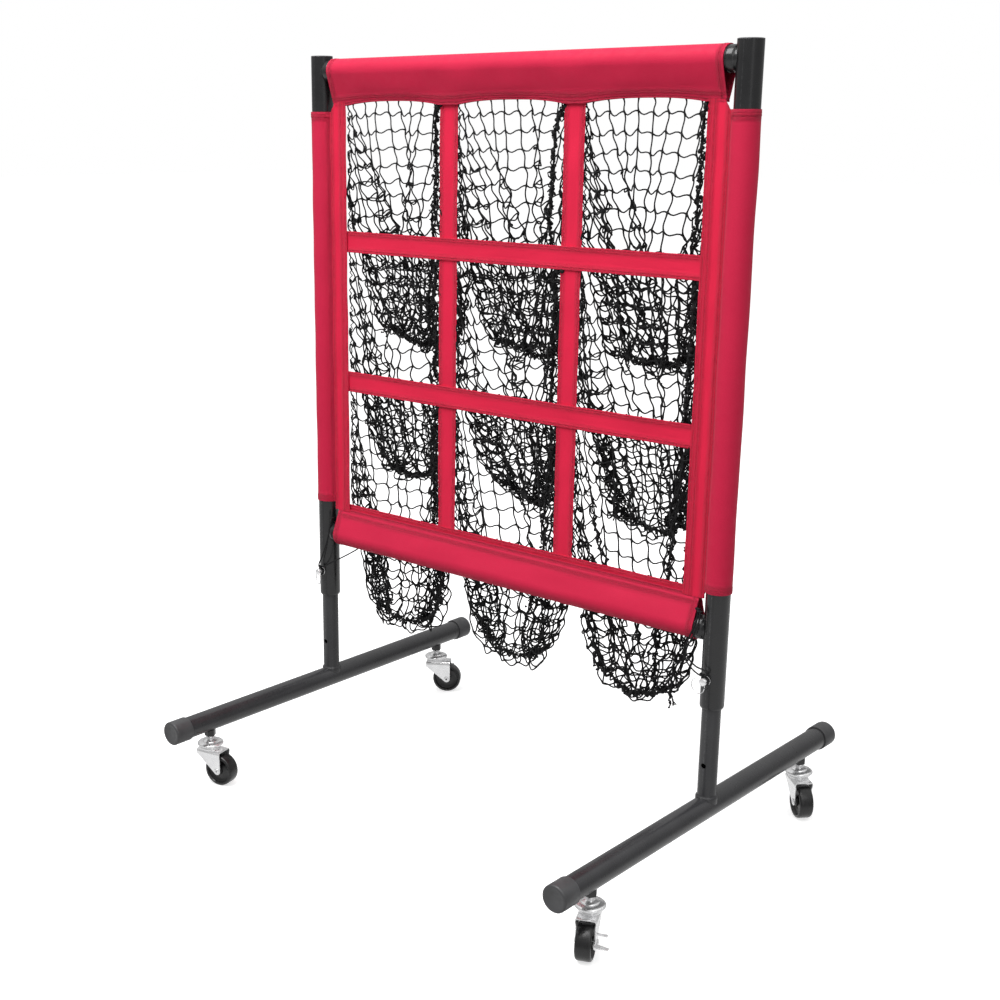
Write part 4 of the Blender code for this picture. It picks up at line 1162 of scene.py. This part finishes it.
def laced_hem(back, front, lace_gap):
    """The bottom knots of both layers, joined by a lacing of fixed length."""
    laced = (back + front) / 2
    for parity in (0, 1):
        one = np.arange(parity, laced.shape[1] - 1, 2)
        gap = laced[:, one + 1] - laced[:, one]
        length = np.linalg.norm(gap, axis=-1)
        shift = (np.maximum(length - lace_gap, 0) / (length + 1e-9))[..., None] * gap * 0.5
        laced[:, one] += shift
        laced[:, one + 1] -= shift
    return laced


def kept_clear(knots):
    """The knots, kept behind the panel, off the pocket below and within the opening's width."""
    depth = -knots[..., 2]
    near, far = (np.concatenate([np.interp(depth[:6], CORRIDOR_DEPTH, upper),
                                 np.interp(depth[6:], CORRIDOR_DEPTH, lowest)])
                 for upper, lowest in ((CORRIDOR_FRONT, LOWEST_FRONT), (CORRIDOR_BACK, LOWEST_BACK)))
    reach = np.interp(depth, REACH_DEPTH, REACH)
    kept = np.stack([np.clip(knots[..., 0], -reach, reach), np.clip(knots[..., 1], near, far), knots[..., 2]], axis=-1)
    seam = kept[:, 1:9, SEAM_COLUMN]
    inwards = SEAM_REACH - SEAM_SAG * seam[..., 1]
    seam[..., 0] = np.clip(seam[..., 0], inwards - SEAM_PLAY, inwards)
    return kept


def drape_nets():
    """All nine pockets at once: knots joined by twine of a fixed length, hung from the opening's edge."""
    rng = np.random.default_rng(20)
    count, columns, half = 9, NET_COLUMNS, NET_COLUMNS // 2
    sewn, places = sewn_knots()
    places = np.broadcast_to(places, (count, *places.shape)).copy()
    # The top row of openings has an arched top edge.
    at_top = places[:3, :, :, 2] > -1e-6
    places[:3, :, :, 2] += np.where(at_top, opening_arch(places[:3, :, :, 0] * 0.98), 0.0)
    fixed = np.broadcast_to(sewn, (count, *sewn.shape))[..., None]
    free = np.where(fixed, 0.0, 1.0)
    rim = rim_points()
    angle = np.arctan2((rim[:, 1] + OPENING_HEIGHT / 2) / OPENING_HEIGHT, rim[:, 0] / OPENING_WIDTH)
    knots = np.zeros((count, NET_ROWS + 1, columns, 3))
    for r, depth in enumerate(ROW_DEPTHS):
        t = depth / ROW_DEPTHS[-1]
        knots[:, r, :, 0] = (0.100 - 0.020 * t) * np.cos(angle)
        knots[:, r, :, 1] = 0.010 + 0.075 * t + 0.030 * math.sqrt(t) * (0.5 + 0.5 * np.sin(angle))
        knots[:, r, :, 2] = -depth
    knots += rng.normal(0, 0.003, knots.shape)
    knots = np.where(fixed, places, knots)
    down_length, around_length = cut_twine(rng, count)
    lace_gap = rng.uniform(*LACED_WIDTH, (count, 1)) / (half - 1)
    back = np.arange(half)
    front = columns - 1 - back
    push = crumple(rng, knots.shape)
    push[6:] *= 0.5
    leaning = np.repeat(ROW_LEAN, 3)[:, None, None]
    previous = knots.copy()
    for _ in range(SETTLE_STEPS):
        away = knots - knots.mean(axis=2, keepdims=True)
        away[..., 2] *= 0.2
        pull = push + PUFF * unit(away, 1e-6)
        pull[..., 2] -= GRAVITY
        pull[..., 1] += leaning
        knots, previous = knots + free * ((knots - previous) * KEPT_SPEED + pull * TIME_STEP * TIME_STEP), knots
        for _ in range(SETTLE_PASSES):
            for parity in (0, 1):
                upper, lower = np.s_[:, parity:-1:2], np.s_[:, parity + 1::2]
                up, down = drawn_together(knots[upper], knots[lower], free[upper], free[lower],
                                          down_length[:, parity::2], LEAST_DOWN)
                knots[upper] += up
                knots[lower] -= down
            for parity in (0, 1):
                first = np.arange(parity, columns, 2)
                second = (first + 1) % columns
                one, two = drawn_together(knots[:, 1:, first], knots[:, 1:, second], free[:, 1:, first],
                                          free[:, 1:, second], around_length[:, 1:, first], LEAST_AROUND)
                knots[:, 1:, first] += one
                knots[:, 1:, second] -= two
            laced = laced_hem(knots[:, -1, back], knots[:, -1, front], lace_gap)
            knots[:, -1, back] = laced
            knots[:, -1, front] = laced
            knots = np.where(fixed, places, kept_clear(knots))
    return knots, down_length, around_length, sewn


def slack_line(start, end, length, lean, steps, sideways):
    """Twine of a fixed length between two knots: it bows, and a sideways one is S-shaped."""
    gap = end - start
    distance = np.linalg.norm(gap, axis=1)[:, None]
    bow = np.minimum(np.sqrt(4 * np.maximum(distance, 0.004) * np.maximum(length[:, None] - distance, 0)) / math.pi,
                     0.5 * length[:, None])
    down = np.array([[0, 0, -1.0]])
    down = down - (down * gap).sum(1, keepdims=True) * gap / (distance ** 2 + 1e-9)
    size = np.linalg.norm(down, axis=1)[:, None]
    side = unit(np.cross(gap, [0, 0, 1.0]), 1e-9)
    down = np.where(size > 0.2, down / (size + 1e-9), side)
    way = unit(down + side * lean[:, None])
    t = np.linspace(0, 1, steps + 1)[None, :, None]
    curl = 0.0024 if sideways else 0.0011
    return (start[:, None] + gap[:, None] * t + (way * (bow * 0.75 + 0.0006))[:, None] * np.sin(math.pi * t)
            + (down * curl)[:, None] * np.sin(math.tau * t))


def ball_mesh():
    """A small rounded lump: a cube with each face split in four, drawn out to a ball."""
    shape = bmesh.new()
    bmesh.ops.create_cube(shape, size=1.0)
    bmesh.ops.subdivide_edges(shape, edges=shape.edges, cuts=1, use_grid_fill=True)
    points = np.array([v.co.normalized() for v in shape.verts])
    faces = np.array([[v.index for v in f.verts] for f in shape.faces])
    shape.free()
    return points, faces


BALL = ball_mesh()


def lumps(made, places, sizes, rng):
    """Knots: balls of these sizes, each squashed and turned its own way."""
    points, faces = BALL
    scale = np.asarray(sizes)[:, None] * rng.uniform(0.8, 1.25, (len(places), 3))
    spin = rng.uniform(0, math.tau, len(places))
    turned_points = points[None] * scale[:, None]
    x = turned_points[..., 0] * np.cos(spin)[:, None] - turned_points[..., 2] * np.sin(spin)[:, None]
    z = turned_points[..., 0] * np.sin(spin)[:, None] + turned_points[..., 2] * np.cos(spin)[:, None]
    vertices = np.stack([x, turned_points[..., 1], z], axis=-1) + places[:, None]
    made.add(vertices, (np.arange(len(places))[:, None, None] * len(points) + faces[None]).reshape(-1, 4))


def along(knots, shares):
    """Points at these shares of each stretch between the knots of a line."""
    t = np.asarray(shares)[:, None]
    return knots[:-1, None] * (1 - t) + knots[1:, None] * t


def add_cords(made, line, count, wander, radius, rng):
    """Cords that wander about a line of knots."""
    for _ in range(count):
        made.add(*many_tubes(line + rng.normal(0, wander, line.shape), np.full(line.shape[:2], radius), 5))


def add_seam(made, seam, rng):
    """The side seam: the netting's two edges laced together down one corner of the pocket."""
    between = along(seam, (0.0, 0.3, 0.65)).swapaxes(0, 1).reshape(-1, 3)
    sizes = np.tile(np.linspace(*SEAM_KNOT_SIZES, len(seam) - 1), 3)
    lumps(made, between + rng.normal(0, 0.0022, between.shape), sizes, rng)
    add_cords(made, along(seam, np.linspace(0, 1, 7)), 3, 0.0026, SEAM_CORD_R, rng)


def add_hem(made, hem, cords, clump_share, rng):
    """The bottom hem: a heavy lacing cord, with the netting clumped on it here and there."""
    add_cords(made, along(hem, np.linspace(0, 1, 7)), cords, 0.0019, HEM_CORD_R, rng)
    clumped = hem[rng.random(len(hem)) < clump_share]
    clumped = np.concatenate([clumped + rng.normal(0, 0.0036, clumped.shape) for _ in range(4)])
    lumps(made, clumped, rng.uniform(*CLUMP_SIZES, len(clumped)), rng)


def add_lashings(made, rng):
    """The cord that lashes the netting to the two side edges of the opening."""
    for edge in (-1, 1):
        turns = np.linspace(0.004, OPENING_HEIGHT - 0.004, 40)
        sway = np.where(np.arange(40) % 2, 0.0035, -0.0010) + rng.normal(0, 0.0012, 40)
        behind = np.full(40, 0.0040) + rng.normal(0, 0.0010, 40)
        made.add(*tube_along(np.stack([edge * (OPENING_WIDTH / 2 - sway), behind, -turns], axis=1), TWINE_R, 5))


def add_tails(made, corner, rng):
    """The loose ends at a corner of the hem."""
    outward = np.sign(corner[0]) or 1.0
    t = np.linspace(0, 1, 9)[:, None]
    for _ in range(4):
        fall = np.array([outward * rng.uniform(0.000, 0.014), rng.uniform(-0.006, 0.006), -rng.uniform(0.010, 0.026)])
        drop = corner + t * fall + rng.normal(0, 0.0016, (9, 3)) * t
        made.add(*tube_along(drop, TAIL_R, 5))
        lumps(made, drop[[-1]], np.array([0.0017]), rng)


def build_net(number, knots, down_length, around_length, sewn):
    row, column = divmod(number, 3)
    lowest = row == 2
    rng = np.random.default_rng(100 + number)
    made = Builder()
    hung = ~sewn[1:]
    joined = ~(sewn & np.roll(sewn, -1, axis=1))
    # The netting hangs taut from the opening, and slack and bunched below it.
    looseness = np.broadcast_to(np.clip((np.arange(NET_ROWS + 1) - 3) / 5, 0, 1)[:, None], sewn.shape)
    runs = (
        (knots[:-1][hung], knots[1:][hung], down_length[hung], looseness[1:][hung], 1.01, 0.20, False),
        (knots[joined], np.roll(knots, -1, axis=1)[joined], around_length[joined], looseness[joined], 1.02, 0.26, True),
    )
    lines = []
    for start, end, length, loose, least, most, sideways in runs:
        slack = least + rng.uniform(0.03, most, len(start)) * loose
        lines.append(slack_line(start, end, length * slack, rng.normal(0, 0.9, len(start)), 6, sideways))
    lines = np.concatenate(lines)
    # The twine is fuller by its knots, and where it's slack.
    swell = 1 + 0.45 * np.abs(np.linspace(-1, 1, lines.shape[1])) ** 4
    fuller = 1 + 0.20 * np.concatenate([loose for _, _, _, loose, *_ in runs])
    made.add(*many_tubes(lines, TWINE_R * fuller[:, None] * swell, 5))
    lumps(made, knots[~sewn], rng.uniform(*KNOT_SIZES, int((~sewn).sum())), rng)
    add_seam(made, knots[:, SEAM_COLUMN], rng)
    hem = knots[-1, :NET_COLUMNS // 2]
    add_hem(made, hem, 1 if lowest else 2, 0.10 if lowest else 0.40, rng)
    add_lashings(made, rng)
    for corner in ((0, -1), (-1,), (-1, 0))[column]:
        add_tails(made, hem[corner], rng)
    piece = made.make(f"net_{ROWS[row]}_{COLUMNS[column]}", TWINE, 75.0)
    piece.location = ((column - 1) * COLUMN_PITCH + SHIFT_X, 0.0, OPENING_TOP_Z - row * ROW_PITCH)
    settle(piece, "frame", f"net_pocket_{ROWS[row]}_{COLUMNS[column]}")


all_knots, down_lengths, around_lengths, sewn_at = drape_nets()
for net_number in range(9):
    build_net(net_number, all_knots[net_number], down_lengths[net_number], around_lengths[net_number], sewn_at)


# ---- studio -------------------------------------------------------------------------------------
TARGET_MIDDLE = Vector((0, 0, 0.7))
FLOOR_SIZE = 30.0
FLOOR_GLOW = 0.62
WORLD_BELOW = 0.36
WORLD_ABOVE = 0.50
# The room's brightness in reflections, by height: 0 is straight down, 0.5 is level and 1 is straight up.
REFLECTED = ((0.0, 0.90), (0.30, 0.78), (0.42, 0.46), (0.50, 0.40), (0.64, 0.52), (0.90, 1.0), (1.0, 1.0))


def build_floor():
    corners = [(x * FLOOR_SIZE, y * FLOOR_SIZE, 0) for x, y in ((-1, -1), (1, -1), (1, 1), (-1, 1))]
    finish = Finish("studio_floor", (0.9, 0.9, 0.9), 0.8)
    finish.shader.inputs["Emission Color"].default_value = (1, 1, 1, 1)
    finish.shader.inputs["Emission Strength"].default_value = FLOOR_GLOW
    floor = new_object("floor", corners, [(0, 1, 2, 3)], finish.material)
    floor.visible_diffuse = False
    floor.visible_glossy = False


def build_world():
    """A white room whose light on matt surfaces is softer than its reflections."""
    world = bpy.data.worlds.new("studio")
    bpy.context.scene.world = world
    world.use_nodes = True
    tree = world.node_tree
    tree.nodes.clear()

    def node(kind, links=(), **values):
        made = tree.nodes.new(kind)
        for socket, value in values.items():
            made.inputs[socket.replace("_", " ")].default_value = value
        for socket, source in dict(links).items():
            tree.links.new(source, made.inputs[socket])
        return made

    way = node("ShaderNodeSeparateXYZ", {0: node("ShaderNodeTexCoord").outputs["Generated"]})
    rise = {"Value": way.outputs["Z"]}
    matt = node("ShaderNodeMapRange", rise, From_Min=-0.4, From_Max=0.6, To_Min=WORLD_BELOW, To_Max=WORLD_ABOVE)
    height = node("ShaderNodeMapRange", rise, From_Min=-1.0, From_Max=1.0)
    glossy = node("ShaderNodeValToRGB", {0: height.outputs[0]})
    stops = glossy.color_ramp.elements
    for at, grey in REFLECTED:
        stop = stops[round(at)] if at in (0.0, 1.0) else stops.new(at)
        stop.color = (grey, grey, grey, 1.0)
    path = node("ShaderNodeLightPath")
    light = tree.nodes.new("ShaderNodeMix")
    tree.links.new(path.outputs["Is Glossy Ray"], light.inputs[0])
    tree.links.new(matt.outputs[0], light.inputs[2])
    tree.links.new(glossy.outputs[0], light.inputs[3])
    lit = node("ShaderNodeBackground", {"Strength": light.outputs[0]})
    lit.inputs["Color"].default_value = (1, 1, 1, 1)
    seen = node("ShaderNodeBackground")
    seen.inputs["Color"].default_value = (1, 1, 1, 1)
    mix = node("ShaderNodeMixShader", {0: path.outputs["Is Camera Ray"], 1: lit.outputs[0], 2: seen.outputs[0]})
    node("ShaderNodeOutputWorld", {"Surface": mix.outputs[0]})


def build_light(name, azimuth, elevation, distance, width, height, power):
    """A soft light aimed at the middle of the target."""
    data = bpy.data.lights.new(name, "AREA")
    data.shape = "RECTANGLE"
    data.size, data.size_y, data.energy = width, height, power
    lamp = linked(name, data)
    a, e = math.radians(azimuth), math.radians(elevation)
    back = Vector((math.sin(a) * math.cos(e), -math.cos(a) * math.cos(e), math.sin(e)))
    lamp.location = TARGET_MIDDLE + back * distance
    lamp.rotation_mode = "QUATERNION"
    lamp.rotation_quaternion = (-back).to_track_quat("-Z", "Y")
    lamp.visible_camera = False


build_floor()
build_world()
build_light("key_front", -7, 61, 3.4, 2.4, 2.4, 138.0)
build_light("key_right", 62, 40, 3.4, 1.8, 1.8, 12.0)
build_light("strip_right", 58, 4, 3.0, 0.50, 2.6, 3.0)
bpy.context.scene.view_settings.view_transform = "Standard"
bpy.context.scene.view_settings.look = "None"
